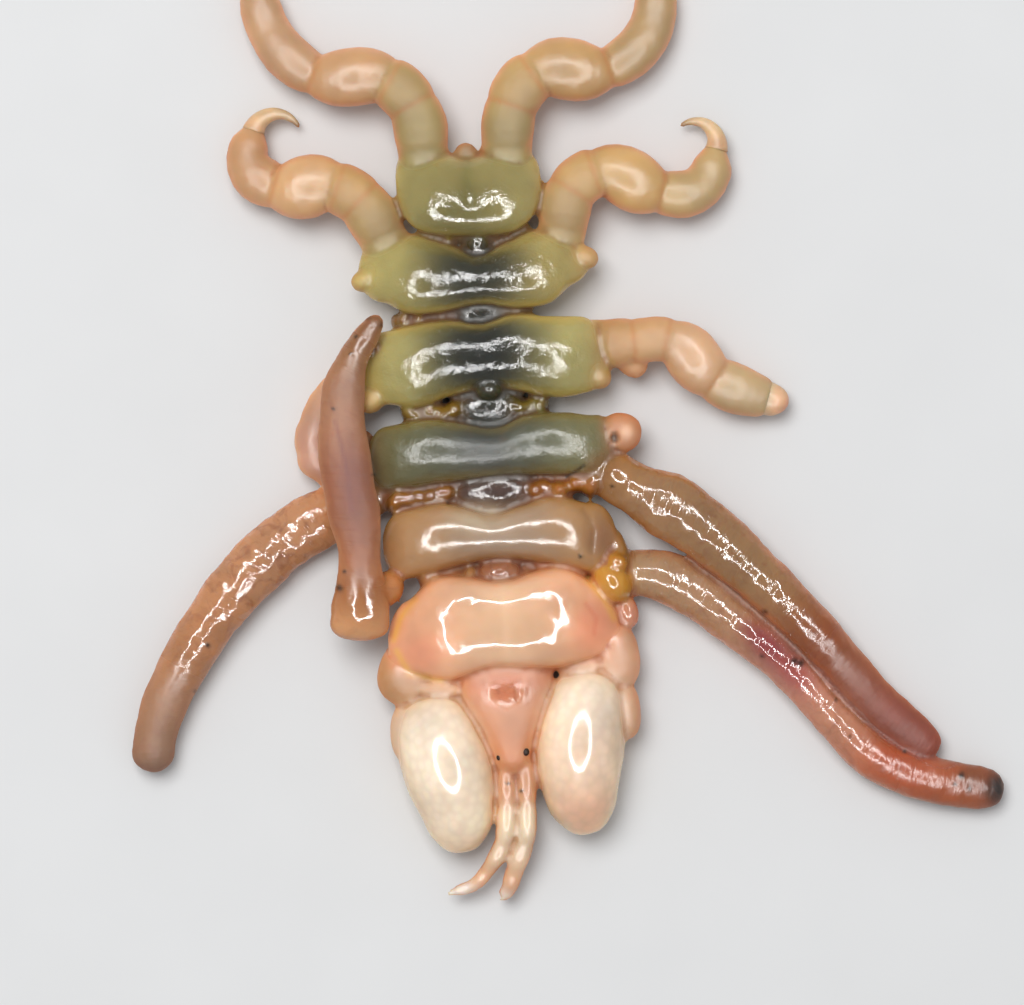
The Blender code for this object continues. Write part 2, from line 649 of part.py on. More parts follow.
def trunk_bar(segment):
    """The cross bar of a segment: full lobes at each side, lower and shorter at the middle."""
    sections = []
    for mark in [-mark for mark in reversed(BAR_MARKS[1:])] + list(BAR_MARKS):
        out = abs(mark)
        lobe = min(out / segment.fullest, 1.0)
        blend = lobe * lobe * (3 - 2 * lobe)
        half = segment.mid + (segment.lobe - segment.mid) * blend
        past = max(0.0, (out - segment.fullest) / (BAR_CLOSES - segment.fullest))
        rounding = (1 - past ** BAR_ROUNDING) ** 0.5
        place = Vector((mark * segment.reach, segment.y + segment.lean * blend, segment.level))
        height = 2 * BODY_HALF_HEIGHT * (BAR_END_HEIGHT + (1 - BAR_END_HEIGHT) * rounding)
        sections.append(section(place, 0.0, 0.0, 2 * half * rounding, height))
    return Form(sections, BODY_SIDES, BAR_SQUARENESS)


def joint_stub(segment, plane):
    """The neck of a segment, from under its back to the flat face of a soft joint."""
    heading = 90.0 if plane > segment.y else -90.0
    away = 1.0 if plane > segment.y else -1.0
    sections = []
    for y in (segment.y, plane - away * GAP / 2):
        sections.append(section(Vector((0.0, y, JOINT_LEVEL)), heading, 0.0, JOINT_WIDTH, JOINT_HEIGHT))
    return Form(sections, LIMB_SIDES, JOINT_SQUARENESS)


def trunk_segment(number):
    segment = SEGMENTS[number]
    bodies = [trunk_bar(segment)]
    for pair, plane in JOINTS.items():
        if number in pair:
            bodies.append(joint_stub(segment, plane))
    if number == 2:
        bodies.append(joint_stub(segment, HEAD_JOINT))
    for table in (LEG_ROOTS, GILL_ROOTS, ARM_ROOTS, LOBE_ROOTS):
        for (owner, side), root in table.items():
            if owner == number:
                bodies.append(stub(root, LEG_REACH))
    if number == 7:
        bodies.append(stub(ABDOMEN_ROOT, LEG_REACH))
    before = [f"pereonite_{number - 1}"] if number > 2 else []
    node(f"pereonite_{number}", SEGMENT_SKINS[number], bodies, clear_of=before)


def abdomen():
    trace = Trace(ABDOMEN_ROOT, [ABDOMEN], 1.0, ABDOMEN_TIP)
    node("abdomen", "olive_cuticle", [trace.round_tip(0.0, CLAW_SIDES)])


def arm_and_hand(side):
    hand = Trace(HAND_ROOTS[side], HANDS[side], HAND_WAIST, HAND_TIP)
    length = hand.joints[-1]
    within = hand.section(length - KNUCKLE_BACK)
    ahead = within.col[2].to_3d()
    backward = math.degrees(math.atan2(-ahead.y, -ahead.x))
    under = within.translation - Vector((0.0, 0.0, KNUCKLE_DROP))
    knuckle = hook(under, (backward, KNUCKLE_AIM), KNUCKLE_TURN, KNUCKLE_LENGTH, KNUCKLE_SIZE,
                   KNUCKLE_SIZE[0], KNUCKLE_RINGS)
    bodies = [hand.round_tip(0.0, BODY_SIDES), Form(knuckle, CLAW_SIDES)]
    node(f"gnathopod_2_{side}_hand", "hand_cuticle", bodies,
         clear_of=["pereonite_2", "head", f"antenna_1_{side}"])
    arm = Trace(ARM_ROOTS[2, side], ARMS[side], LEG_WAIST, ARM_TIP)
    node(f"gnathopod_2_{side}_arm", "peach_cuticle", [arm.round_tip(0.0, LIMB_SIDES)],
         clear_of=["pereonite_2", f"gnathopod_2_{side}_hand"])
    root, heading = beyond(knuckle[-1])
    sections = hook(root, (heading, HAND_CLAW_AIM), HAND_CLAW_TURN, HAND_CLAW_LENGTH, HAND_CLAW_BASE,
                    CLAW_TIP)
    node(f"gnathopod_2_{side}_claw", "claw_horn", [Form(sections, CLAW_SIDES)])


def accessory_gill(number, side):
    root = LOBE_ROOTS[number, side]
    length, width, height = LOBES[number, side]
    level = max(root.place[2], height / 2)
    tip = (width * LOBE_TAPER, height * LOBE_TAPER)
    trace = Trace(root, [Article(length, width, height, root.heading, level)], 1.0, tip)
    body = trace.round_tip(0.0, CLAW_SIDES)
    neighbours = [f"pereonite_{number}", f"gill_{number}_{side}_root"]
    if number == 3:
        neighbours.append("pereonite_2")
    node(f"accessory_gill_{number}_{side}", "gill_skin", [body], clear_of=neighbours)


def row_form(rows, sides):
    sections = []
    for y, width, height, level in rows:
        sections.append(section(Vector((HEAD_MIDDLE, y, level)), -90.0, 0.0, width, height))
    return Form(sections, sides)


def ball(place, radius):
    """A ball drawn through level sections from the bottom up."""
    sections = []
    for angle in BALL_ANGLES:
        turn = math.radians(angle)
        centre = Vector(place) + Vector((0.0, 0.0, radius * math.sin(turn)))
        across = 2 * radius * math.cos(turn)
        sections.append(section(centre, 0.0, 90.0, across, across))
    return Form(sections, CLAW_SIDES, 2.0)


def head():
    bodies = [row_form(HEAD_ROWS, BODY_SIDES)]
    bodies += [stub(root, ANTENNA_STALK) for root in ANTENNA_ROOTS.values()]
    bodies += [stub(root, FEELER_STALK) for root in FEELER_ROOTS.values()]
    pits = [grown(ball(place, EYE_RADIUS), EYE_GAP) for place in EYE_PLACES.values()]
    node("head", "peach_cuticle", bodies, pits)
    for side, place in EYE_PLACES.items():
        node(f"eye_{side}", "eye", [ball(place, EYE_RADIUS)])


def feelers():
    """The two pairs of antennae."""
    for side, root in ANTENNA_ROOTS.items():
        trace = Trace(root, ANTENNAE[side], ANTENNA_WAIST, ANTENNA_TIP)
        body = trace.body(0.0, trace.joints[-1], CLAW_SIDES, FINE_RING_SPACING)
        node(f"antenna_1_{side}", "peach_cuticle", [body])
    for side, root in FEELER_ROOTS.items():
        trace = Trace(root, [FEELER._replace(heading=root.heading)], 1.0, FEELER_TIP)
        body = trace.body(0.0, FEELER.length, CLAW_SIDES, FINE_RING_SPACING)
        node(f"antenna_2_{side}", "peach_cuticle", [body])


def mouth():
    """The mouth cone and, beside it, the first gnathopods with their small claws."""
    node("mouthparts", "peach_cuticle", [row_form(MOUTH_ROWS, CLAW_SIDES)])
    for side, root in SMALL_ARM_ROOTS.items():
        trace = Trace(root, SMALL_ARMS[side], SMALL_ARM_WAIST, SMALL_ARM_TIP)
        reach = trace.joints[-1]
        name = f"gnathopod_1_{side}"
        node(name, "peach_cuticle", [trace.body(0.0, reach, CLAW_SIDES, FINE_RING_SPACING)])
        place, heading = beyond(trace.section(reach))
        sections = hook(place, (heading, 0.0), SMALL_CLAW_TURNS[side], SMALL_CLAW_LENGTH,
                        SMALL_CLAW_BASE, CLAW_TIP)
        node(name + "_claw", "claw_horn", [Form(sections, CLAW_SIDES)])


for old in list(bpy.data.objects):
    bpy.data.objects.remove(old)

for number in SEGMENTS:
    trunk_segment(number)
head()
feelers()
mouth()
for number in (5, 6, 7):
    for side in ("left", "right"):
        leg(number, side)
for number, side in GILLS:
    straight_gill(number, side)
folded_gill()
abdomen()
for side in ("left", "right"):
    arm_and_hand(side)
for number, side in LOBES:
    accessory_gill(number, side)
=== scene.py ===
import math
import random
from collections import namedtuple

import bmesh
import bpy
import numpy as np
from mathutils import Matrix, Vector, kdtree, noise


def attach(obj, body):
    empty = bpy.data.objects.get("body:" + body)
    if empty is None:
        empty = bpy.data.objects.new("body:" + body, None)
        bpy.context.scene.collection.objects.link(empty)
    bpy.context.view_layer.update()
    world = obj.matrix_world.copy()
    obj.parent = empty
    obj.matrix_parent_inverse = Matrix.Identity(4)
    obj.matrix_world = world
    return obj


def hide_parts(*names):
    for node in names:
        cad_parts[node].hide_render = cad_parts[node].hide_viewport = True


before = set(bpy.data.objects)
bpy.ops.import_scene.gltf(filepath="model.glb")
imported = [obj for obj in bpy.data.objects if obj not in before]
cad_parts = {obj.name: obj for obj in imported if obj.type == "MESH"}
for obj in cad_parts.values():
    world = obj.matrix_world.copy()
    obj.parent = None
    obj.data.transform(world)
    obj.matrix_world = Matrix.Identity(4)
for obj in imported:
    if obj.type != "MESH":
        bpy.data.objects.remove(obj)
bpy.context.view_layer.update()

# Trunk segments two to seven: six broad cross bars of soft, wet cuticle over a dark gut. Each is a
# closed pillow drawn from side to side through its fore and aft edges. Flesh is made in millimetres
# along the body's own axis, and all of it is fused into one skin further down.
MM = 0.001
CENTRE_SHIFT = Vector((-1.22, -1.14, 0.0))
BAR_LEVEL = 0.86
BAR_STATIONS = 36
BAR_SIDES = 44
BAR_END = 0.996

# reach and end: how far a bar goes to the right and left, and how far along the body its ends lie;
# tail and head: its edges, drawn through a few places; full: where the corners begin to round off;
# corners: how square they are; tops: the height of the back from the middle to the end; lean: how
# far the back slopes down towards the tail; square: how flat the back is; rim: the painted glow
# of light through its flanks; skin: see flesh below.
Bar = namedtuple("Bar", "reach end tail head full corners tops lean square tints rim skin")
TRUNK = {
    2: Bar((-2.64, 2.58), (-4.15, -4.10),
           ((-2.1, -3.24), (-1.5, -2.78), (-0.9, -2.76), (0.0, -2.92), (0.9, -2.78), (1.5, -2.76),
            (2.05, -3.16)),
           ((-2.1, -4.93), (-1.4, -5.12), (-0.4, -4.95), (0.35, -5.02), (1.3, -5.02), (2.1, -4.86)),
           0.80, (1.7, 2.2), ((0.0, 1.86), (0.2, 1.84), (0.4, 1.78), (0.55, 1.69), (0.7, 1.55),
                              (0.85, 1.36), (1.0, 1.08)),
           0.0, 2.8, ("e49870", "e6ac86", "e2ba98", "e6ac86", "e2966c"), "e8a474", (0.0, 0.0, 0.18, 0.06)),
    3: Bar((-2.60, 2.70), (-1.98, -2.10),
           ((-2.1, -1.22), (-1.2, -1.09), (-0.6, -1.25), (-0.05, -1.44), (0.6, -1.28), (1.3, -1.13),
            (2.1, -1.36)),
           ((-2.1, -2.76), (-1.4, -2.66), (-0.5, -2.49), (0.5, -2.54), (1.3, -2.74), (2.0, -2.94)),
           0.80, (2.0, 2.1), ((0.0, 1.66), (0.24, 1.65), (0.46, 1.68), (0.66, 1.60), (0.84, 1.38),
                              (1.0, 1.05)),
           0.0, 2.2, ("a27248", "ab845c", "a8907a", "aa8258", "9e6c40"), "b08248", (0.0, 0.0, 0.5, 0.2)),
    4: Bar((-2.72, 2.88), (-0.02, -0.18),
           ((-2.3, 0.72), (-1.3, 0.80), (-0.6, 0.64), (0.2, 0.48), (0.8, 0.70), (1.6, 0.74), (2.3, 0.60)),
           ((-2.3, -0.76), (-1.3, -0.70), (0.0, -0.64), (1.1, -0.66), (1.8, -0.72), (2.3, -0.84)),
           0.83, (2.3, 2.4), ((0.0, 1.62), (0.24, 1.62), (0.44, 1.66), (0.64, 1.60), (0.84, 1.38),
                              (1.0, 1.05)),
           -0.06, 2.2, ("7c6340", "6c6846", "56554c", "7c7852", "84663c"), "8c7c46", (0.0, 0.0, 1.5, 0.36)),
    5: Bar((-2.78, 2.84), (1.78, 1.72),
           ((-2.1, 2.86), (-1.6, 2.94), (-0.75, 3.01), (-0.05, 2.88), (0.75, 3.03), (1.4, 2.94),
            (2.1, 2.86)),
           ((-2.1, 1.18), (-1.6, 1.04), (-0.9, 1.27), (0.0, 1.36), (0.6, 1.34), (1.1, 1.18),
            (1.7, 1.05), (2.2, 1.12)),
           0.76, (2.2, 2.2), ((0.0, 1.62), (0.22, 1.62), (0.42, 1.68), (0.60, 1.60), (0.80, 1.36),
                              (1.0, 1.02)),
           0.02, 2.2, ("c4aa5c", "a69c64", "3a392e", "a89e66", "bc945c"), "ceb464", (0.0, 0.0, 1.7, 0.1)),
    6: Bar((-2.66, 2.58), (4.18, 4.12),
           ((-2.1, 4.96), (-1.5, 5.04), (-0.8, 4.86), (0.05, 4.46), (0.6, 4.64), (1.2, 4.86),
            (1.7, 4.90), (2.1, 4.72)),
           ((-2.1, 3.50), (-1.6, 3.22), (-0.9, 3.18), (0.0, 3.30), (0.8, 3.17), (1.6, 3.18), (2.1, 3.56)),
           0.80, (1.9, 1.9), ((0.0, 1.58), (0.22, 1.60), (0.44, 1.68), (0.60, 1.60), (0.80, 1.36),
                              (1.0, 1.02)),
           0.24, 2.2, ("b4a260", "a4985e", "494530", "a8985e", "b69460"), "c4ae66", (0.0, 0.0, 1.7, 0.1)),
    7: Bar((-1.66, 1.62), (6.10, 6.00),
           ((-1.2, 6.82), (-0.7, 6.87), (0.0, 6.68), (0.7, 6.78), (1.2, 6.64)),
           ((-1.25, 5.08), (-0.9, 4.95), (0.0, 4.84), (0.9, 4.86), (1.25, 5.02)),
           0.74, (3.0, 1.7), ((0.0, 1.60), (0.25, 1.62), (0.45, 1.60), (0.62, 1.52), (0.80, 1.36),
                              (1.0, 1.10)),
           0.30, 2.2, ("a8985c", "9a8e58", "8a7e4c", "988c58", "aa9460"), "b4a060", (0.0, 0.0, 1.3, 0.1)),
}

flesh_meshes = []
paint_places = []
paint_tops = []
paint_rim_glows = []
paint_zones = []


def shade(code):
    """A colour of six hex digits, as the linear values that a shader takes."""
    channels = [int(code[start:start + 2], 16) / 255 for start in (0, 2, 4)]
    return Vector([c / 12.92 if c <= 0.04045 else ((c + 0.055) / 1.055) ** 2.4 for c in channels])


def eased(keys, share):
    """A number or colour that runs smoothly from key to key."""
    if share <= keys[0][0]:
        return keys[0][1]
    for (start, low), (end, high) in zip(keys, keys[1:]):
        if share <= end:
            part = (share - start) / (end - start)
            return low + (high - low) * (part * part * (3 - 2 * part))
    return keys[-1][1]


def curve_through(points, x):
    """The height at x of a round curve through the points, level beyond the first and last."""
    if x <= points[0][0]:
        return points[0][1]
    if x >= points[-1][0]:
        return points[-1][1]
    index = next(i for i in range(len(points) - 1) if x <= points[i + 1][0])
    (x0, y0), (x1, y1) = points[index], points[index + 1]
    before = points[index - 1] if index else points[index]
    after = points[index + 2] if index + 2 < len(points) else points[index + 1]
    slope0 = (y1 - before[1]) / (x1 - before[0])
    slope1 = (after[1] - y0) / (after[0] - x0)
    t = (x - x0) / (x1 - x0)
    span = x1 - x0
    start_part = (2 * t ** 3 - 3 * t * t + 1) * y0 + (t ** 3 - 2 * t * t + t) * span * slope0
    return start_part + (3 * t * t - 2 * t ** 3) * y1 + (t ** 3 - t * t) * span * slope1


def cross_section(place, heading, pitch, width, height):
    """The matrix that lays a unit circle across a path: X to its left, Y up, Z along it."""
    turn = math.radians(heading)
    rise = math.radians(pitch)
    ahead = Vector((math.cos(rise) * math.cos(turn), math.cos(rise) * math.sin(turn), math.sin(rise)))
    left = Vector((-math.sin(turn), math.cos(turn), 0.0))
    rows = Matrix((left * (width / 2), ahead.cross(left) * (height / 2), ahead)).transposed()
    return Matrix.Translation(place) @ rows.to_4x4()


def loft(sections, sides, squareness, lower=1.0):
    """A closed body through cross sections, and the rings of points that it is drawn through.
    The squareness of its upper and lower half is 2 for an ellipse, and lower says how deep the
    lower half is beside the upper."""
    bm = bmesh.new()
    disc = bmesh.ops.create_circle(bm, cap_ends=True, segments=sides, radius=1.0)
    for vert in disc["verts"]:
        power = 2 / (squareness[0] if vert.co.y > 0 else squareness[1])
        for axis in (0, 1):
            vert.co[axis] = math.copysign(abs(vert.co[axis]) ** power, vert.co[axis])
        if vert.co.y < 0:
            vert.co.y *= lower
    bmesh.ops.transform(bm, matrix=sections[0], verts=bm.verts)
    rings = [list(disc["verts"])]
    first_cap = bm.faces[:][0]
    cap = first_cap
    for before, after in zip(sections, sections[1:]):
        drawn = bmesh.ops.extrude_face_region(bm, geom=[cap])["geom"]
        if cap is not first_cap:
            bmesh.ops.delete(bm, geom=[cap], context="FACES_ONLY")
        rings.append([item for item in drawn if isinstance(item, bmesh.types.BMVert)])
        cap = next(item for item in drawn if isinstance(item, bmesh.types.BMFace))
        bmesh.ops.transform(bm, matrix=after @ before.inverted(), verts=rings[-1])
    bmesh.ops.recalc_face_normals(bm, faces=bm.faces)
    return bm, rings


def flesh(sections, tints, rim, zone, sides=28, squareness=(2.0, 2.4), lower=1.0):
    """Adds a body to the flesh, and notes the colour of its back and the painted glow of its flanks,
    the orange that light through the clear edge gives them. Its zone says how netted, how wrinkled,
    how grainy and how dull its skin is."""
    bm, rings = loft(sections, sides, squareness, lower)
    for index, ring in enumerate(rings):
        share = index / (len(rings) - 1)
        top = eased(tints, share)
        flank_glow = eased(rim, share) if isinstance(rim, list) else rim
        if isinstance(zone, list):
            here = eased([(index / (len(zone) - 1), Vector(item)) for index, item in enumerate(zone)],
                         share)
        else:
            here = zone
        for vert in ring:
            paint_places.append(vert.co.copy())
            paint_tops.append(tuple(top))
            paint_rim_glows.append(tuple(flank_glow))
            paint_zones.append(tuple(here))
    mesh = bpy.data.meshes.new("flesh")
    bm.to_mesh(mesh)
    bm.free()
    flesh_meshes.append(mesh)


def bar_sections(bar):
    middle = (bar.reach[0] + bar.reach[1]) / 2
    half = (bar.reach[1] - bar.reach[0]) / 2
    tops = [(-mark, top) for mark, top in reversed(bar.tops[1:])] + list(bar.tops)
    sections = []
    for station in range(BAR_STATIONS + 1):
        mark = BAR_END * math.sin(math.pi / 2 * (2 * station / BAR_STATIONS - 1))
        x = middle + mark * half
        past = max(0.0, (abs(mark) - bar.full) / (1 - bar.full))
        end = bar.end[0] if mark < 0 else bar.end[1]
        edges = []
        for points, power in zip((bar.tail, bar.head), bar.corners):
            edges.append(end + (curve_through(points, x) - end) * (1 - past ** power) ** (1 / power))
        height = 2 * (curve_through(tops, mark) - BAR_LEVEL)
        place = Vector((x, (edges[0] + edges[1]) / 2, BAR_LEVEL))
        matrix = cross_section(place, 0.0, 0.0, edges[0] - edges[1], height)
        matrix[2][0] = -bar.lean * (edges[0] - edges[1]) / 2
        sections.append(matrix)
    return sections


for bar in TRUNK.values():
    marks = (0.0, 0.24, 0.5, 0.76, 1.0)
    tints = [(mark, shade(code)) for mark, code in zip(marks, bar.tints)]
    flesh(bar_sections(bar), tints, shade(bar.rim), bar.skin, BAR_SIDES, (bar.square, 2.8))


# Round lobes of all sizes: the dark barrels of the gut between the segments, the side nubs of the
# segments, the accessory gills, the arms' swollen articles and the abdomen at the tail's end.
GILL_SKIN = (0.0, 1.1, 0.4, 0.10)
FAR_GILL_SKIN = (0.0, 0.8, 0.3, 1.0)
TRUNK_SKIN = (0.0, 0.0, 0.8, 0.3)
FRONT_SKIN = (0.0, 0.0, 0.12, 0.8)
ARM_SKIN = (0.45, 0.0, 0.12, 0.78)
LEG_SKIN = (0.0, 0.0, 0.2, 0.48)
BASIS_SKIN = (0.0, 0.0, 0.2, 0.95)
PIT_SKIN = (0.0, 0.2, 0.5, 0.1)
GUT_SKIN = (0.0, 0.6, 1.2, 0.14)
LOBE_FULLNESS = 2.25
LOBE_SIDES = 26
LOBE_SQUARENESS = (2.0, 2.2)
# back is the colour of a lobe's top; edge is the colour painted on its flanks for light seen through the clear skin.
Lobe = namedtuple("Lobe", "place heading length width height back edge skin")
LOBES = [
    Lobe((-0.50, -2.76, 0.86), 0, 1.00, 0.58, 1.02, "a06848", "9c6040", GUT_SKIN),
    Lobe((-0.98, -0.93, 0.66), 0, 2.05, 1.12, 1.20, "49342c", "3c281c", GUT_SKIN),
    Lobe((-0.80, 0.97, 0.58), 0, 1.66, 1.20, 1.12, "26261f", "2c2818", GUT_SKIN),
    Lobe((-0.66, 3.10, 0.60), 0, 1.44, 0.90, 1.06, "26231a", "3a2e18", GUT_SKIN),
    Lobe((-0.28, 4.66, 0.66), 0, 0.72, 0.80, 1.14, "3a301e", "54401e", GUT_SKIN),
    Lobe((-0.20, 1.36, 1.06), 0, 0.56, 0.42, 0.90, "3a3b2e", "4c4c30", PIT_SKIN),
    Lobe((-1.30, 5.00, 0.66), 0, 2.60, 0.60, 1.05, "968a4e", "a08c4c", TRUNK_SKIN),
    Lobe((-1.10, -5.05, 0.90), 0, 2.15, 0.80, 0.96, "d08a62", "d68e60", FRONT_SKIN),
    Lobe((2.52, 0.26, 0.92), -12, 0.94, 0.88, 0.86, "bc8258", "cc7a44", BASIS_SKIN),
    Lobe((2.50, -0.42, 0.84), -48, 1.05, 1.00, 1.10, "9c7244", "a4703a", PIT_SKIN),
    Lobe((2.28, -2.72, 0.92), -62, 1.02, 0.80, 1.02, "c48c34", "c08428", PIT_SKIN),
    Lobe((2.44, -2.62, 1.10), -30, 0.50, 0.42, 0.60, "b47c2c", "a86e24", PIT_SKIN),
    Lobe((0.70, -2.62, 0.66), -8, 0.60, 0.50, 0.90, "a4683c", "a0683a", PIT_SKIN),
    Lobe((2.72, -3.48, 0.72), -78, 0.78, 0.50, 0.56, "cc8c70", "d07c54", PIT_SKIN),
    Lobe((2.50, -1.95, 0.74), -70, 1.00, 0.50, 0.80, "a47848", "b07c40", PIT_SKIN),
    Lobe((-2.60, 0.40, 0.50), 178, 0.70, 0.60, 0.70, "ac7c5c", "ac7048", TRUNK_SKIN),
    Lobe((-2.50, -2.90, 0.50), 225, 0.85, 0.55, 0.60, "a87048", "a46838", PIT_SKIN),
    Lobe((-2.20, 4.18, 0.90), 203, 0.66, 0.50, 0.78, "bca45c", "c49a58", BASIS_SKIN),
    Lobe((2.20, 4.32, 0.90), -28, 0.62, 0.50, 0.72, "c09a60", "cc9660", BASIS_SKIN),
    Lobe((2.30, 1.72, 0.80), -42, 0.68, 0.56, 0.78, "c49c5c", "cc965c", BASIS_SKIN),
    Lobe((-2.30, 1.45, 0.80), 200, 0.62, 0.60, 0.80, "c8a45c", "cc9c58", BASIS_SKIN),
    Lobe((-0.02, 6.30, 0.66), 90, 0.68, 0.54, 0.60, "a47a4e", "b0784e", BASIS_SKIN),
    Lobe((3.02, 2.14, 0.62), -50, 0.92, 0.66, 0.70, "c08c60", "cc8a58", BASIS_SKIN),
    Lobe((-1.98, -4.20, 0.72), 250, 1.50, 1.40, 1.02, "ba8450", "cc8850", ARM_SKIN),
    Lobe((-2.36, -5.55, 0.72), 268, 1.36, 0.74, 0.92, "cc9f78", "dc9c6c", ARM_SKIN),
    Lobe((-2.30, -5.18, 0.90), -8, 1.36, 0.46, 0.66, "c8966a", "d69664", ARM_SKIN),
    Lobe((2.36, -4.02, 0.72), -84, 1.66, 1.12, 1.04, "cc9a76", "dc986c", ARM_SKIN),
    Lobe((2.56, -5.42, 0.72), -88, 1.34, 0.72, 0.90, "cc9c76", "dc986c", ARM_SKIN),
    Lobe((2.30, -4.98, 0.90), 188, 1.16, 0.46, 0.66, "c89268", "d69464", ARM_SKIN),
]


def lobe_sections(place, heading, length, width, height, fullness=LOBE_FULLNESS, rings=15):
    """Sections of an egg that starts at a place and is rounded at both its ends."""
    turn = math.radians(heading)
    ahead = Vector((math.cos(turn), math.sin(turn), 0.0))
    sections = []
    for ring in range(rings):
        share = (1 - math.cos(math.pi * (ring + 0.3) / (rings - 0.4))) / 2
        bulge = (1 - abs(2 * share - 1) ** fullness) ** (1 / fullness)
        spot = Vector(place) + ahead * (length * share)
        sections.append(cross_section(spot, heading, 0.0, width * bulge, height * bulge))
    return sections


for lobe in LOBES:
    tint = shade(lobe.back)
    flesh(lobe_sections(*lobe[:5]), [(0.0, tint), (1.0, tint)], shade(lobe.edge), lobe.skin, LOBE_SIDES,
          LOBE_SQUARENESS)

# Webs of amber joint skin: between the segments, to both sides of the gut, thin wet skin bulges up
# in small clear blisters. Each web is a row of eggs, sunk in one another and in the segments.
# back is the colour of a blister's top; edge is the colour painted on its flanks for light seen through the clear
# skin.
Web = namedtuple("Web", "right left y count depth top back edge")
WEBS = [
    Web(-1.75, -0.55, -2.78, 6, 0.42, 1.14, "a0703c", "905828"),
    Web(0.38, 2.15, -2.84, 7, 0.36, 1.05, "9a6a38", "905828"),
    Web(-2.25, -0.90, -0.93, 8, 0.46, 1.18, "8c5c24", "70430e"),
    Web(0.85, 2.30, -0.96, 8, 0.48, 1.24, "985f24", "7c480e"),
    Web(-1.85, -0.70, 0.94, 7, 0.44, 1.10, "7c6024", "684c14"),
    Web(0.65, 1.30, 0.92, 4, 0.40, 1.02, "706028", "604a18"),
    Web(-2.00, -0.60, 3.08, 8, 0.36, 1.04, "80581e", "6c4410"),
    Web(0.55, 1.10, 3.10, 4, 0.34, 1.00, "726024", "60480e"),
    Web(-0.95, -0.25, 4.86, 3, 0.34, 1.08, "8c6c28", "7c5618"),
    Web(0.22, 0.80, 4.82, 3, 0.34, 1.08, "8c6c28", "7c5618"),
]
BLISTER_FULLNESS = 2.2
BLISTER_RINGS = 9
BLISTER_SIDES = 18
BLISTER_SQUARENESS = (2.0, 2.6)
blister_draw = random.Random(11)
for web in WEBS:
    for step in range(web.count):
        x = web.right + (web.left - web.right) * (step + blister_draw.uniform(0.2, 0.8)) / web.count
        y = web.y + blister_draw.uniform(-0.06, 0.06)
        length = web.depth * blister_draw.uniform(0.85, 1.45)
        top = web.top + blister_draw.uniform(-0.10, 0.08)
        turn = blister_draw.uniform(0, 180)
        place = (x - math.cos(math.radians(turn)) * length / 2,
                 y - math.sin(math.radians(turn)) * length / 2, top / 2)
        tint = shade(web.back) * blister_draw.uniform(0.8, 1.15)
        blister = lobe_sections(place, turn, length, web.depth, top, BLISTER_FULLNESS, BLISTER_RINGS)
        flesh(blister, [(0.0, tint), (1.0, tint)], shade(web.edge), PIT_SKIN, BLISTER_SIDES,
              BLISTER_SQUARENESS)

# The head: a flat shield of peach cuticle that is fused with the first segment and narrows to the
# feelers. Its sunken, wrinkled nape is pressed in once the skin is whole.
PEACH = "dc9f7a"
HEAD_X = -0.05
HEAD_ROWS = [
    (-4.60, 1.80, 0.96, 0.92), (-5.10, 2.10, 1.04, 0.94), (-5.45, 2.10, 1.10, 0.96),
    (-5.80, 1.90, 1.12, 0.96),
    (-6.15, 1.56, 1.08, 0.96), (-6.50, 1.24, 1.02, 0.96), (-6.80, 1.00, 0.94, 0.96),
    (-7.05, 0.84, 0.86, 0.98), (-7.20, 0.74, 0.68, 0.98), (-7.32, 0.52, 0.44, 1.00),
]
HEAD_TINTS = [(0.0, shade("c87e52")), (0.3, shade("d29064")), (0.65, shade("cc8454")),
              (1.0, shade("bc703c"))]
HEAD_RIM_GLOW = "e2a070"
HEAD_SIDES = 36
HEAD_SQUARENESS = (2.1, 2.4)
sections = []
for y, width, height, level in HEAD_ROWS:
    sections.append(cross_section(Vector((HEAD_X, y, level)), -90.0, 0.0, width, height))
flesh(sections, HEAD_TINTS, shade(HEAD_RIM_GLOW), FRONT_SKIN, HEAD_SIDES, HEAD_SQUARENESS)

# The feelers: the first pair is two stout articles and a bent, tapering whip on each side, laid
# against each other; the second pair is two short stubs below. Clear cuticle with an orange edge
# that is a painted glow of light through it.
Article = namedtuple("Article", "length width height heading level")
Root = namedtuple("Root", "place heading width height")
COURSE_STEP = 0.02
PITCH_STEP = 0.05


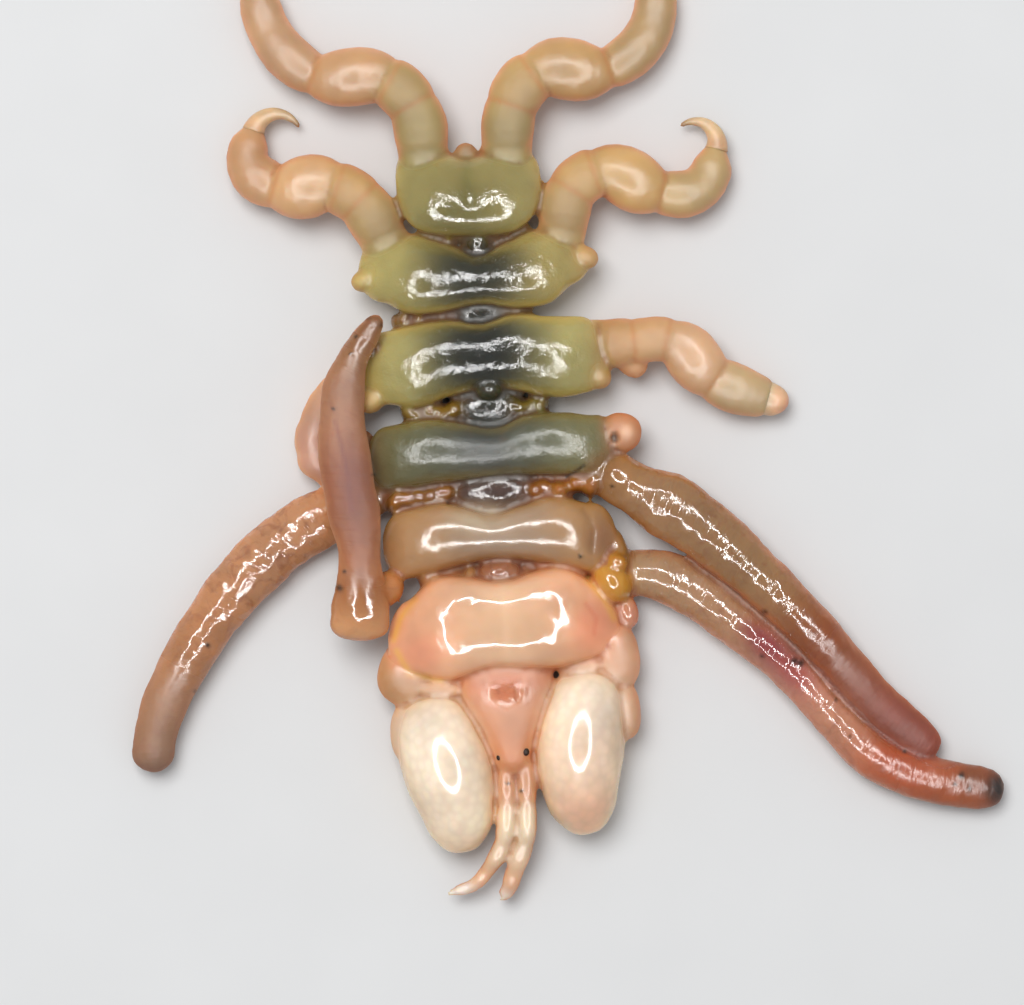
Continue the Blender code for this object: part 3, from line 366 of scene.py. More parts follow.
class Course:
    """The way that a limb takes from its root, read from its articles."""

    def __init__(self, root, articles, tip=None):
        self.joints = [0.0]
        self.heads = [(0.0, root.heading)]
        self.levels = [(0.0, root.place[2])]
        self.widths = [(0.0, root.width)]
        self.heights = [(0.0, root.height)]
        for article in articles:
            middle = self.joints[-1] + article.length / 2
            self.heads.append((middle, article.heading))
            self.levels.append((middle, article.level))
            self.widths.append((middle, article.width))
            self.heights.append((middle, article.height))
            self.joints.append(self.joints[-1] + article.length)
        self.end = self.joints[-1]
        if tip:
            self.widths.append((self.end, tip[0]))
            self.heights.append((self.end, tip[1]))
        self.places = [Vector((root.place[0], root.place[1], 0.0))]
        for step in range(int(self.end / COURSE_STEP) + 2):
            self.places.append(self.places[-1] + self.ahead((step + 0.5) * COURSE_STEP) * COURSE_STEP)

    def heading(self, distance):
        keys = self.heads
        if distance <= keys[0][0]:
            return keys[0][1]
        for (start, low), (end, high) in zip(keys, keys[1:]):
            if distance <= end:
                return low + (high - low) * (distance - start) / (end - start)
        return keys[-1][1]

    def ahead(self, distance):
        turn = math.radians(self.heading(distance))
        return Vector((math.cos(turn), math.sin(turn), 0.0))

    def place(self, distance):
        index = min(max(int(distance / COURSE_STEP), 0), len(self.places) - 2)
        beyond = distance - index * COURSE_STEP
        spot = self.places[index] + self.ahead(distance) * beyond
        spot.z = eased(self.levels, distance)
        return spot

    def section(self, distance, width, height):
        rise = eased(self.levels, distance + PITCH_STEP) - eased(self.levels, distance - PITCH_STEP)
        pitch = math.degrees(math.atan2(rise, 2 * PITCH_STEP))
        return cross_section(self.place(distance), self.heading(distance), pitch, width, height)

    def oval(self, start, end, fullness=2.6, rings=17, arch=None):
        """Sections of one article between two distances, closed and rounded at both its ends.
        The arch is the fullness of its height, where that differs."""
        sections = []
        for ring in range(rings):
            share = (1 - math.cos(math.pi * (ring + 0.3) / (rings - 0.4))) / 2
            bulge = (1 - abs(2 * share - 1) ** fullness) ** (1 / fullness)
            rise = (1 - abs(2 * share - 1) ** (arch or fullness)) ** (1 / (arch or fullness))
            distance = start + (end - start) * share
            width = eased(self.widths, distance) * bulge
            sections.append(self.section(distance, width, eased(self.heights, distance) * rise))
        return sections


ANTENNAE = {
    "left": (Root((0.22, -7.00, 1.02), -88, 0.42, 0.44), [
        Article(1.00, 0.46, 0.46, -91, 1.02), Article(0.92, 0.46, 0.44, -95, 0.95),
        Article(0.62, 0.46, 0.38, -116, 0.80), Article(0.54, 0.42, 0.32, -112, 0.62),
        Article(0.22, 0.34, 0.26, -125, 0.50)]),
    "right": (Root((-0.20, -7.00, 1.02), -92, 0.42, 0.44), [
        Article(1.00, 0.46, 0.46, -92, 1.02), Article(0.90, 0.46, 0.44, -97, 0.95),
        Article(0.56, 0.42, 0.38, -124, 0.80), Article(0.58, 0.36, 0.30, -130, 0.62),
        Article(0.60, 0.30, 0.22, -170, 0.50)]),
}
ANTENNA_TINTS = ["cc9670", "d8c2a4", "dabc9c", "d6a884", "dccfc0"]
ANTENNA_TIP = (0.16, 0.12)
FEELERS = {"left": Root((0.24, -6.90, 0.60), -75, 0.34, 0.26),
           "right": Root((-0.32, -6.90, 0.60), -105, 0.34, 0.26)}
FEELER_TIP = (0.12, 0.12)
FEELER_SKIN = (0.0, 0.0, 0.3, 0.42)
FEELER_OVERLAP = 0.07
FEELER_RIM_GLOW = "d08c5c"
FEELER_END = "dcd0c2"
STUB_OVERLAP = (0.08, 0.06)
JOINT_EDGE = shade("c07c4c")
creases = []


def limb(course, start, end, tint, rim, skin, fullness, sides=28, root_tint=None, tip_tint=None):
    """One article of a limb, with the orange of its joint skin at both its ends, or other tints."""
    tints = [(0.0, root_tint or JOINT_EDGE), (0.16, root_tint or tint), (0.4, tint), (0.86, tint),
             (1.0, tip_tint or JOINT_EDGE)]
    flesh(course.oval(start, end, fullness), tints, rim, skin, sides, (2.0, 2.3))


for root, articles in ANTENNAE.values():
    course = Course(root, articles, ANTENNA_TIP)
    for index, code in enumerate(ANTENNA_TINTS):
        start = course.joints[index] - FEELER_OVERLAP
        end = course.joints[index + 1] + FEELER_OVERLAP
        tip_tint = shade(FEELER_END) if code == ANTENNA_TINTS[-1] else None
        limb(course, start, end, shade(code), shade(FEELER_RIM_GLOW), FEELER_SKIN, 5.0, 22, tip_tint=tip_tint)
for root in FEELERS.values():
    course = Course(root, [Article(0.40, 0.34, 0.26, root.heading, 0.54),
                           Article(0.32, 0.26, 0.22, -90, 0.46)], FEELER_TIP)
    for start, end in zip(course.joints, course.joints[1:]):
        limb(course, start - STUB_OVERLAP[0], end + STUB_OVERLAP[1], shade(PEACH), shade(PEACH),
             FRONT_SKIN, 2.6, 16)

# Under the head: the blunt mouth cone with its two jaw lobes, and behind it the small first
# gnathopods, of two articles each. They hardly show in a model that lies on its belly.
UNDERSIDE = [
    (Root((HEAD_X, -5.55, 0.50), -90, 0.90, 0.60), [Article(0.95, 0.84, 0.62, -90, 0.48)]),
    (Root((HEAD_X, -6.10, 0.36), -90, 0.50, 0.40), [Article(0.80, 0.62, 0.46, -90, 0.34)]),
    (Root((HEAD_X - 0.16, -6.25, 0.24), -86, 0.24, 0.24), [Article(0.66, 0.26, 0.28, -86, 0.20)]),
    (Root((HEAD_X + 0.16, -6.25, 0.24), -94, 0.24, 0.24), [Article(0.66, 0.26, 0.28, -94, 0.20)]),
]
SMALL_ARMS = {
    "left": (Root((0.34, -5.00, 0.30), -70, 0.50, 0.44), [
        Article(0.55, 0.50, 0.42, -70, 0.24), Article(0.60, 0.56, 0.40, -86, 0.20)]),
    "right": (Root((-0.38, -5.00, 0.30), -110, 0.50, 0.44), [
        Article(0.55, 0.50, 0.42, -110, 0.24), Article(0.60, 0.56, 0.40, -94, 0.20)]),
}
for root, articles in [*UNDERSIDE, *SMALL_ARMS.values()]:
    course = Course(root, articles, (root.width * 0.7, root.height * 0.7))
    for start, end in zip(course.joints, course.joints[1:]):
        limb(course, start - STUB_OVERLAP[0], end + STUB_OVERLAP[1], shade(PEACH), shade("d9905c"),
             FRONT_SKIN, 2.4, 18)

# Hands: the last articles of the second gnathopods, two smooth, inflated, slightly bent ovals of
# cream cuticle with a faint net of cells inside and a peach blush towards the tip. A knuckle under
# each carries the folded claw.
HANDS = {
    "right": (Root((-2.08, -5.44, 0.76), 295, 2.00, 2.20), [
        Article(1.20, 2.00, 2.40, 291, 0.75), Article(1.25, 2.06, 2.48, 282, 0.75),
        Article(1.25, 1.70, 2.26, 272, 0.75)]),
    "left": (Root((1.95, -5.06, 0.76), -104, 1.80, 2.20), [
        Article(1.20, 1.92, 2.40, -108, 0.75), Article(1.30, 2.04, 2.48, -99, 0.75),
        Article(1.34, 1.76, 2.26, -83, 0.75)]),
}
HAND_TIP = (1.44, 1.90)
HAND_LOWER = 0.5
HAND_TINTS = {
    "right": [(0.0, "ead8bc"), (0.25, "efdfca"), (0.7, "f2dfc6"), (1.0, "f0c8a2")],
    "left": [(0.0, "ead6ba"), (0.25, "f0dfca"), (0.55, "f2d6bc"), (0.78, "f4c2a2"), (1.0, "f2ae8a")],
}
HAND_SKIN = (1.0, 0.0, 0.0, 0.15)
KNUCKLE_BACK = 0.62


def tints_of(keys):
    return [(share, shade(code)) for share, code in keys]


hand_courses = {}
for side, (root, articles) in HANDS.items():
    course = Course(root, articles, HAND_TIP)
    hand_courses[side] = course
    flesh(course.oval(0.0, course.end, 2.9, 36, 2.1), tints_of(HAND_TINTS[side]), shade("f0d2a8"),
          HAND_SKIN, 44,
          (2.0, 2.1), HAND_LOWER)
    knuckle = course.place(course.end - KNUCKLE_BACK)
    under = (knuckle.x, knuckle.y, 0.50)
    tint = shade(HAND_TINTS[side][-1][1])
    flesh(lobe_sections(under, course.heading(course.end) + 180, 0.80, 0.66, 0.86),
          [(0.0, tint), (1.0, tint)],
          tint, HAND_SKIN, 22)

# Legs five to seven: hooked walking legs of four swollen articles each, basis, knee, carpus and the
# oval last article that carries the claw. Tan, clear cuticle; its orange edge is a painted glow of
# light through it.
LEG_ROOTS = {
    (5, "left"): Root((2.72, 2.20, 0.66), -5, 1.10, 0.84),
    (5, "right"): Root((-2.66, 1.90, 0.56), 204, 0.90, 0.80),
    (6, "left"): Root((2.02, 4.88, 0.76), 75, 1.10, 0.95),
    (6, "right"): Root((-2.04, 4.98, 0.76), 112, 1.10, 0.95),
    (7, "left"): Root((0.92, 6.76, 0.76), 85, 1.14, 0.95),
    (7, "right"): Root((-0.98, 6.80, 0.76), 91, 1.14, 0.95),
}
LEGS = {
    (7, "right"): [
        Article(1.10, 1.24, 1.06, 92, 0.90), Article(0.75, 1.20, 1.08, 130, 1.02),
        Article(1.75, 1.34, 1.05, 186, 0.85), Article(0.95, 1.12, 1.00, 138, 0.60),
        Article(2.00, 0.96, 0.90, 100, 0.43)],
    (7, "left"): [
        Article(0.95, 1.22, 1.06, 84, 0.90), Article(0.85, 1.22, 1.08, 52, 1.02),
        Article(1.75, 1.44, 1.05, -16, 0.85), Article(0.95, 1.12, 1.00, 30, 0.60),
        Article(2.00, 0.98, 0.90, 84, 0.43)],
    (6, "right"): [
        Article(0.95, 1.22, 1.06, 112, 0.90), Article(0.60, 1.20, 1.08, 145, 1.02),
        Article(1.45, 1.46, 1.10, 188, 0.85), Article(0.70, 1.12, 1.00, 145, 0.58),
        Article(1.05, 0.92, 0.88, 68, 0.46)],
    (6, "left"): [
        Article(0.85, 1.20, 1.06, 78, 0.90), Article(0.65, 1.18, 1.08, 35, 1.02),
        Article(1.65, 1.40, 1.10, -38, 0.85), Article(0.80, 1.12, 1.00, -5, 0.60),
        Article(1.22, 0.96, 0.88, 72, 0.46)],
    (5, "left"): [
        Article(0.70, 1.12, 0.96, 0, 0.80), Article(0.75, 1.02, 0.95, 4, 0.94),
        Article(1.45, 1.28, 1.02, -58, 0.80), Article(0.90, 1.16, 0.95, -24, 0.55),
        Article(0.50, 0.98, 0.82, -20, 0.46)],
    (5, "right"): [
        Article(1.05, 0.92, 0.84, 206, 0.50), Article(0.50, 0.90, 0.84, 240, 0.46),
        Article(0.70, 1.05, 0.88, 264, 0.45), Article(0.35, 1.05, 0.88, 285, 0.45),
        Article(0.25, 0.72, 0.80, 310, 0.42)],
}
LEG_TINTS = {
    (7, "right"): ("98824a", "aa8c54", "c2966a", "b68e68"),
    (7, "left"): ("a08850", "b29058", "be9662", "ae8e60"),
    (6, "right"): ("a4864e", "b89056", "d0a474", "be9064"),
    (6, "left"): ("a68650", "bc965c", "caa268", "b89a68"),
    (5, "left"): ("ba8c56", "c69a68", "cca27a", "bea074"),
    (5, "right"): ("c09070", "c09070", "bc8c74", "bc8c74"),
}
LEG_RIM_GLOWS = {5: "dc9e70", 6: "dc9a6c", 7: "dc9c70"}
LEG_TIPS = {5: (0.80, 0.68), 6: (0.50, 0.52), 7: (0.58, 0.58)}
LEG_FULLNESS = (5.0, 3.6, 3.0, 3.8)
LEG_SKINS = (BASIS_SKIN, BASIS_SKIN, LEG_SKIN, (0.0, 0.0, 0.2, 0.62))
LEG_ROOT_TINTS = {(5, "left"): "bc925c", (5, "right"): "a8804c", (6, "left"): "b49a60",
                  (6, "right"): "b0a05e",
                  (7, "left"): "a2945a", (7, "right"): "a0945a"}
LEG_OVERLAP = 0.17
LEG_ARTICLES = [(0, 1), (1, 2), (2, 3), (3, 5)]
leg_courses = {}
for key, articles in LEGS.items():
    course = Course(LEG_ROOTS[key], articles, LEG_TIPS[key[0]])
    leg_courses[key] = course
    for (first, last), code, fullness in zip(LEG_ARTICLES, LEG_TINTS[key], LEG_FULLNESS):
        start = course.joints[first] - (0.55 if first == 0 else LEG_OVERLAP)
        end = course.joints[last] + (0.06 if last == 5 else LEG_OVERLAP)
        basis_tint = None if first else shade(LEG_ROOT_TINTS[key])
        limb(course, start, end, shade(code), shade(LEG_RIM_GLOWS[key[0]]), LEG_SKINS[first],
             fullness, root_tint=basis_tint, tip_tint=shade(code) if last == 5 else None)
        if first and key != (5, "right"):
            across = course.section(course.joints[first], eased(course.widths, course.joints[first]), 1.0)
            side = across.col[0].to_3d() * 0.9
            creases.append(((across.translation - side)[:2], (across.translation + side)[:2]))

# Gills of the third and fourth segments: long, soft, blood-filled tubes, one at each root, with a
# greyish core, a crimped surface and an orange edge that is a painted glow of light through it. The
# right one of the third segment is folded back along the body and starts with a blunt elbow.
GILL_ROOTS = {
    (4, "right"): Root((-2.66, -0.76, 0.50), 204, 1.00, 0.78),
    (4, "left"): Root((2.62, -0.74, 0.78), -34, 1.10, 0.95),
    (3, "left"): Root((2.70, -3.02, 0.60), 0, 0.98, 0.88),
}
GILLS = {
    (4, "right"): [
        Article(1.15, 1.16, 0.84, 198, 0.42), Article(1.10, 1.34, 0.92, 205, 0.47),
        Article(1.20, 1.34, 1.02, 219, 0.51), Article(1.30, 1.26, 1.04, 226, 0.52),
        Article(1.30, 1.17, 1.04, 234, 0.52), Article(1.20, 1.07, 1.02, 240, 0.51),
        Article(1.30, 0.98, 0.96, 257, 0.48)],
    (4, "left"): [
        Article(1.00, 1.16, 1.00, -33, 0.80), Article(1.15, 1.50, 1.12, -33, 0.86),
        Article(1.30, 1.38, 1.14, -44, 0.86), Article(1.40, 1.20, 1.08, -47.5, 0.80),
        Article(1.60, 1.12, 1.04, -51.5, 0.68), Article(1.55, 1.04, 0.98, -54.5, 0.54),
        Article(1.85, 0.98, 0.88, -43, 0.45)],
    (3, "left"): [
        Article(0.75, 1.04, 0.94, -3, 0.50), Article(1.10, 1.24, 1.00, -30, 0.50),
        Article(1.30, 1.12, 1.00, -44, 0.49), Article(1.40, 1.02, 0.98, -43, 0.49),
        Article(1.40, 0.98, 0.96, -53, 0.48), Article(1.40, 1.00, 0.98, -54, 0.49),
        Article(1.45, 1.04, 0.96, -24, 0.48), Article(1.62, 1.04, 0.80, -11, 0.41)],
}
GILL_TIPS = {(4, "right"): (0.92, 0.92), (4, "left"): (0.80, 0.72), (3, "left"): (0.80, 0.66)}
GILL_TINTS = {
    (4, "right"): [(0.0, "bc8458"), (0.3, "b98660"), (0.6, "b47e56"), (0.85, "8e6444"), (1.0, "6e4c38")],
    (4, "left"): [(0.0, "9c7048"), (0.12, "9a7450"), (0.4, "926e4a"), (0.6, "8c4820"), (0.8, "7e300a"),
                  (1.0, "782c08")],
    (3, "left"): [(0.0, "aa8a68"), (0.25, "ae8462"), (0.42, "b07668"), (0.55, "be8468"), (0.7, "b05a36"),
                  (0.86, "9a5028"), (1.0, "54301c")],
}
GILL_RIM_GLOWS = {
    (4, "right"): [(0.0, "d08c58"), (0.5, "c8865a"), (1.0, "84573c")],
    (4, "left"): [(0.0, "b8783c"), (0.5, "bc7040"), (1.0, "a4502c")],
    (3, "left"): [(0.0, "cc8858"), (0.5, "c87c54"), (1.0, "844a28")],
}
GILL_SKINS = {
    (4, "right"): [GILL_SKIN, (0.0, 1.8, 0.6, 0.10), (0.0, 1.8, 0.6, 0.10), GILL_SKIN, FAR_GILL_SKIN,
                   FAR_GILL_SKIN],
    (4, "left"): [GILL_SKIN, GILL_SKIN, GILL_SKIN, FAR_GILL_SKIN, FAR_GILL_SKIN],
    (3, "left"): [GILL_SKIN, GILL_SKIN, GILL_SKIN, (0.0, 1.0, 0.4, 0.35), (0.0, 0.9, 0.3, 0.7)],
}
GILL_RINGS = 64
GILL_TIP_RINGS = 9
GILL_SIDES = 30
GILL_SQUARENESS = (1.8, 2.15)
GILL_SUNK = 0.45
GILL_LUMPS = (0.05, 1.1, 0.03, 3.1)
gill_courses = {}


def lumpy(distance, phase):
    """How a gill swells and narrows along its length, in long and in short lumps."""
    slow = noise.noise(Vector((distance * GILL_LUMPS[1], phase, 0.0)))
    quick = noise.noise(Vector((distance * GILL_LUMPS[3], phase, 5.0)))
    return 1 + GILL_LUMPS[0] * slow + GILL_LUMPS[2] * quick


for key, articles in GILLS.items():
    course = Course(GILL_ROOTS[key], articles, GILL_TIPS[key])
    gill_courses[key] = course
    radius = GILL_TIPS[key][0] / 2
    phase = key[0] * 7.0 + articles[0].heading
    sections = []
    for ring in range(GILL_RINGS + 1):
        distance = -GILL_SUNK + (course.end - radius + GILL_SUNK) * ring / GILL_RINGS
        width = eased(course.widths, distance) * lumpy(distance, phase)
        sections.append(course.section(distance, width, eased(course.heights, distance)))
    width *= 0.999
    for ring in range(1, GILL_TIP_RINGS + 1):
        turn = math.pi / 2 * (ring - 0.12) / GILL_TIP_RINGS
        distance = course.end - radius + radius * math.sin(turn)
        sections.append(course.section(distance, width * math.cos(turn),
                                       GILL_TIPS[key][1] * math.cos(turn)))
    flesh(sections, tints_of(GILL_TINTS[key]), tints_of(GILL_RIM_GLOWS[key]), GILL_SKINS[key], GILL_SIDES,
          GILL_SQUARENESS)

FOLDED_ROOT = Root((-3.26, -4.06, 1.40), 84, 1.66, 0.80)
FOLDED = [
    Article(1.25, 1.34, 0.95, 84, 1.46), Article(1.10, 0.94, 0.84, 88, 1.54),
    Article(1.20, 1.18, 0.84, 97, 1.58), Article(1.30, 1.16, 0.84, 93, 1.58),
    Article(1.35, 0.98, 0.80, 80, 1.56), Article(1.35, 0.60, 0.60, 52, 1.48)]
FOLDED_TINTS = [(0.0, "c89c74"), (0.12, "ca9466"), (0.28, "a06438"), (0.48, "8e4c22"), (0.62, "a26c48"),
                (0.8, "986c46"), (1.0, "6c4a2c")]
FOLDED_ELBOW = 0.62
FOLDED_TIP = 0.22
FOLDED_RIM_GLOW = "b47850"
FOLDED_SIDES = 32
FOLDED_SQUARENESS = (1.9, 2.2)
FOLDED_SKINS = [(0.0, 0.5, 0.2, 0.0), (0.0, 0.5, 0.2, 0.0), (0.0, 0.5, 0.2, 0.04), (0.0, 0.8, 0.3, 0.9),
                (0.0, 0.8, 0.3, 0.95), (0.0, 0.8, 0.3, 0.95), (0.0, 0.8, 0.3, 0.9), (0.0, 0.9, 0.4, 0.3),
                (0.0, 0.9, 0.4, 0.4), (0.0, 0.8, 0.3, 0.9)]
folded = Course(FOLDED_ROOT, FOLDED, (0.40, 0.40))
gill_courses[3, "right"] = folded
sections = []
for ring in range(GILL_RINGS):
    share = (1 - math.cos(math.pi * (ring + 0.3) / (GILL_RINGS - 0.4))) / 2
    distance = folded.end * share
    elbow = (1 - max(0.0, 1 - (distance + 0.004) / FOLDED_ELBOW) ** 2.2) ** 0.46
    tip = (1 - max(0.0, 1 - (folded.end - distance + 0.004) / FOLDED_TIP) ** 2) ** 0.5
    width = eased(folded.widths, distance) * elbow * tip * lumpy(distance, 2.0)
    sections.append(folded.section(distance, width, eased(folded.heights, distance) * elbow * tip))
flesh(sections, tints_of(FOLDED_TINTS), shade(FOLDED_RIM_GLOW), FOLDED_SKINS, FOLDED_SIDES, FOLDED_SQUARENESS)
stalk_tint = shade("b47848")
flesh(lobe_sections((-2.20, -2.76, 1.05), 205, 1.10, 0.80, 0.95), [(0.0, stalk_tint), (1.0, stalk_tint)],
      shade("b8743c"), GILL_SKIN, 22)

# One skin: all the flesh above is fused into a single closed surface, eased at its creases and
# finely lumped, so that no seam shows where one part grows from another.
VOXEL = 0.064
EASING_ROUNDS = 2
BACK_SLOPE = 0.0
SKIN_TRIANGLES = 192000
LUMPS = {"coarse": (1.5, 0.018, 0.018, 0.004), "middle": (4.0, 0.008, 0.016, 0.0015),
         "fine": (8.5, 0.003, 0.008, 0.0)}


def mesh_of(bm, name):
    """The mesh of a finished body, with its faces shaded round."""
    mesh = bpy.data.meshes.new(name)
    bm.to_mesh(mesh)
    bm.free()
    mesh.shade_smooth()
    return mesh


def shown(name, data):
    """An object in the scene, with its place in its own mesh."""
    made = bpy.data.objects.new(name, data)
    bpy.context.scene.collection.objects.link(made)
    return made


def into_frame(bm):
    """Moves a body from the animal's own axis, in millimetres, into the frame, in metres."""
    bmesh.ops.translate(bm, vec=CENTRE_SHIFT, verts=bm.verts)
    bmesh.ops.scale(bm, vec=(MM, MM, MM), verts=bm.verts)


bm = bmesh.new()
for mesh in flesh_meshes:
    bm.from_mesh(mesh)
    bpy.data.meshes.remove(mesh)
rough_flesh = shown("rough_flesh", mesh_of(bm, "rough_flesh"))
fusing = rough_flesh.modifiers.new("fuse", "REMESH")
fusing.mode = "VOXEL"
fusing.voxel_size = VOXEL
easing = rough_flesh.modifiers.new("ease", "SMOOTH")
easing.factor = 0.5
easing.iterations = EASING_ROUNDS
whole = bpy.data.meshes.new_from_object(rough_flesh.evaluated_get(bpy.context.evaluated_depsgraph_get()))
bpy.data.objects.remove(rough_flesh)

# The underside, which lies on the ground, is thinned; the back and the flanks keep all their faces.
whole_flesh = shown("whole_flesh", whole)
underside = whole_flesh.vertex_groups.new(name="underside")
underside.add([vert.index for vert in whole.vertices if vert.normal.z < BACK_SLOPE], 1.0, "REPLACE")
thinning = whole_flesh.modifiers.new("thin", "DECIMATE")
thinning.ratio = SKIN_TRIANGLES / (2 * len(whole.polygons))
thinning.vertex_group = underside.name
fused = bpy.data.meshes.new_from_object(whole_flesh.evaluated_get(bpy.context.evaluated_depsgraph_get()))
bpy.data.objects.remove(whole_flesh)
bpy.data.meshes.remove(whole)

bm = bmesh.new()
bm.from_mesh(fused)
waiting = set(bm.verts)
shells = []
while waiting:
    shell = []
    front = [waiting.pop()]
    while front:
        vert = front.pop()
        shell.append(vert)
        for edge in vert.link_edges:
            other = edge.other_vert(vert)
            if other in waiting:
                waiting.remove(other)
                front.append(other)
    shells.append(shell)
shells.sort(key=len)
for scrap in shells[:-1]:
    bmesh.ops.delete(bm, geom=scrap, context="VERTS")

# Colours of the skin: each point takes them from the nearest rings that the flesh was drawn
# through, the colour of the back where it faces up and, on the flanks, a painted glow that stands
# for light seen through the clear edge.
NEAREST_RINGS = 8
BLENDING_ROUNDS = 12
CREASE_BLENDING = 7
CREASE_START = 0.6
CREASE_FULL = 2.4
CREASE_SHADE_TINT = (0.74, 0.50, 0.32)
CREASE_DULL = 0.9
SMOOTHING = 0.6
FLANK_START = 0.84
FLANK_SPAN = 0.66
WRINKLED = 0.15
tree = kdtree.KDTree(len(paint_places))
for index, place in enumerate(paint_places):
    tree.insert(place, index)
tree.balance()
bm.normal_update()
bm.verts.index_update()
count = len(bm.verts)
tops = np.array(paint_tops)
rim_glows = np.array(paint_rim_glows)
zones = np.array(paint_zones)
skin_top = np.zeros((count, 3))
skin_rim_glow = np.zeros((count, 3))
skin_zone = np.zeros((count, 4))
for index, vert in enumerate(bm.verts):
    found = tree.find_n(vert.co, NEAREST_RINGS)
    weights = np.array([1.0 / (distance * distance + 0.001) for place, near, distance in found])
    near = [item[1] for item in found]
    weights /= weights.sum()
    skin_top[index] = weights @ tops[near]
    skin_rim_glow[index] = weights @ rim_glows[near]
    skin_zone[index] = weights @ zones[near]

# Soft flesh has no hard edges of colour, so each point is blended with its neighbours.
ends = np.array([[vert.index for vert in edge.verts] for edge in bm.edges])
ends, others = np.concatenate([ends, ends[:, ::-1]]).T
shares = np.bincount(ends, minlength=count)


def blended(channel, rounds):
    """Values of the points, each evened out with those of its neighbours."""
    for step in range(rounds):
        around = np.bincount(ends, channel[others], count) / shares
        channel = (1 - SMOOTHING) * channel + SMOOTHING * around
    return channel


for layer in (skin_top, skin_rim_glow, skin_zone):
    for channel in layer.T:
        channel[:] = blended(channel, BLENDING_ROUNDS)

# Where parts meet in a crease, wet skin gets painted shade: it is darker, amber and has no gloss.
spots = np.array([vert.co[:] for vert in bm.verts])
facing = np.array([vert.normal[:] for vert in bm.verts])
hollow = np.zeros(count)
spread = np.zeros(count)
for axis in range(3):
    step = spots[others, axis] - spots[ends, axis]
    hollow += facing[:, axis] * np.bincount(ends, step, count)
    spread += np.bincount(ends, step * step, count)
hollow = blended(2 * hollow / spread, CREASE_BLENDING)
crease_shade = np.clip((hollow - CREASE_START) / (CREASE_FULL - CREASE_START), 0, 1)[:, None]
for layer in (skin_top, skin_rim_glow):
    layer *= 1 - crease_shade * (1 - np.array(CREASE_SHADE_TINT))
skin_zone[:, 3:] += (CREASE_DULL - skin_zone[:, 3:]) * crease_shade
for vert, (net, wrinkle, grain, dull) in zip(bm.verts, skin_zone):
    rest = max(0.0, 1 - net - wrinkle)
    for scale, on_trunk, on_gill, on_hand in LUMPS.values():
        vert.co += vert.normal * (noise.noise(vert.co * scale) * (on_gill * wrinkle + on_hand * net + on_trunk * rest))
bm.normal_update()
spots = np.array([vert.co[:] for vert in bm.verts])
facing = np.array([vert.normal[:] for vert in bm.verts])
upward = np.clip(facing[:, 2] * 3 + 0.3, 0, 1)


def within(place, size, heading):
    """How strongly each point of the back lies within a soft oval, from 0 to 1."""
    turn = math.radians(heading)
    east = spots[:, 0] - place[0]
    north = spots[:, 1] - place[1]
    u = (east * math.cos(turn) + north * math.sin(turn)) / size[0]
    v = (-east * math.sin(turn) + north * math.cos(turn)) / size[1]
    return np.exp(-1.5 * (u * u + v * v) ** 1.5) * upward


def beside(points, radius):
    """How strongly each point of the back lies along a stroke, from 0 to 1."""
    nearest = np.full(count, 1e9)
    for start, end in zip(points, points[1:]):
        start = np.array(start)
        run = np.array(end) - start
        share = np.clip(((spots[:, :2] - start) @ run) / (run @ run), 0, 1)
        nearest = np.minimum(nearest, np.linalg.norm(spots[:, :2] - start - share[:, None] * run, axis=1))
    return np.exp(-(nearest / radius) ** 2) * upward


def mark_skin(share, depth, code, strength):
    """Presses the skin in where the share says, and paints a colour on it: stains, and at a few marks painted shade
    and highlights.
    """
    spots[:, 2] -= share * depth
    part = (share * strength)[:, None]
    colour = np.array(shade(code))
    skin_top[:] = skin_top * (1 - part) + colour * part
    skin_rim_glow[:] = skin_rim_glow * (1 - part * 0.6) + colour * part * 0.6
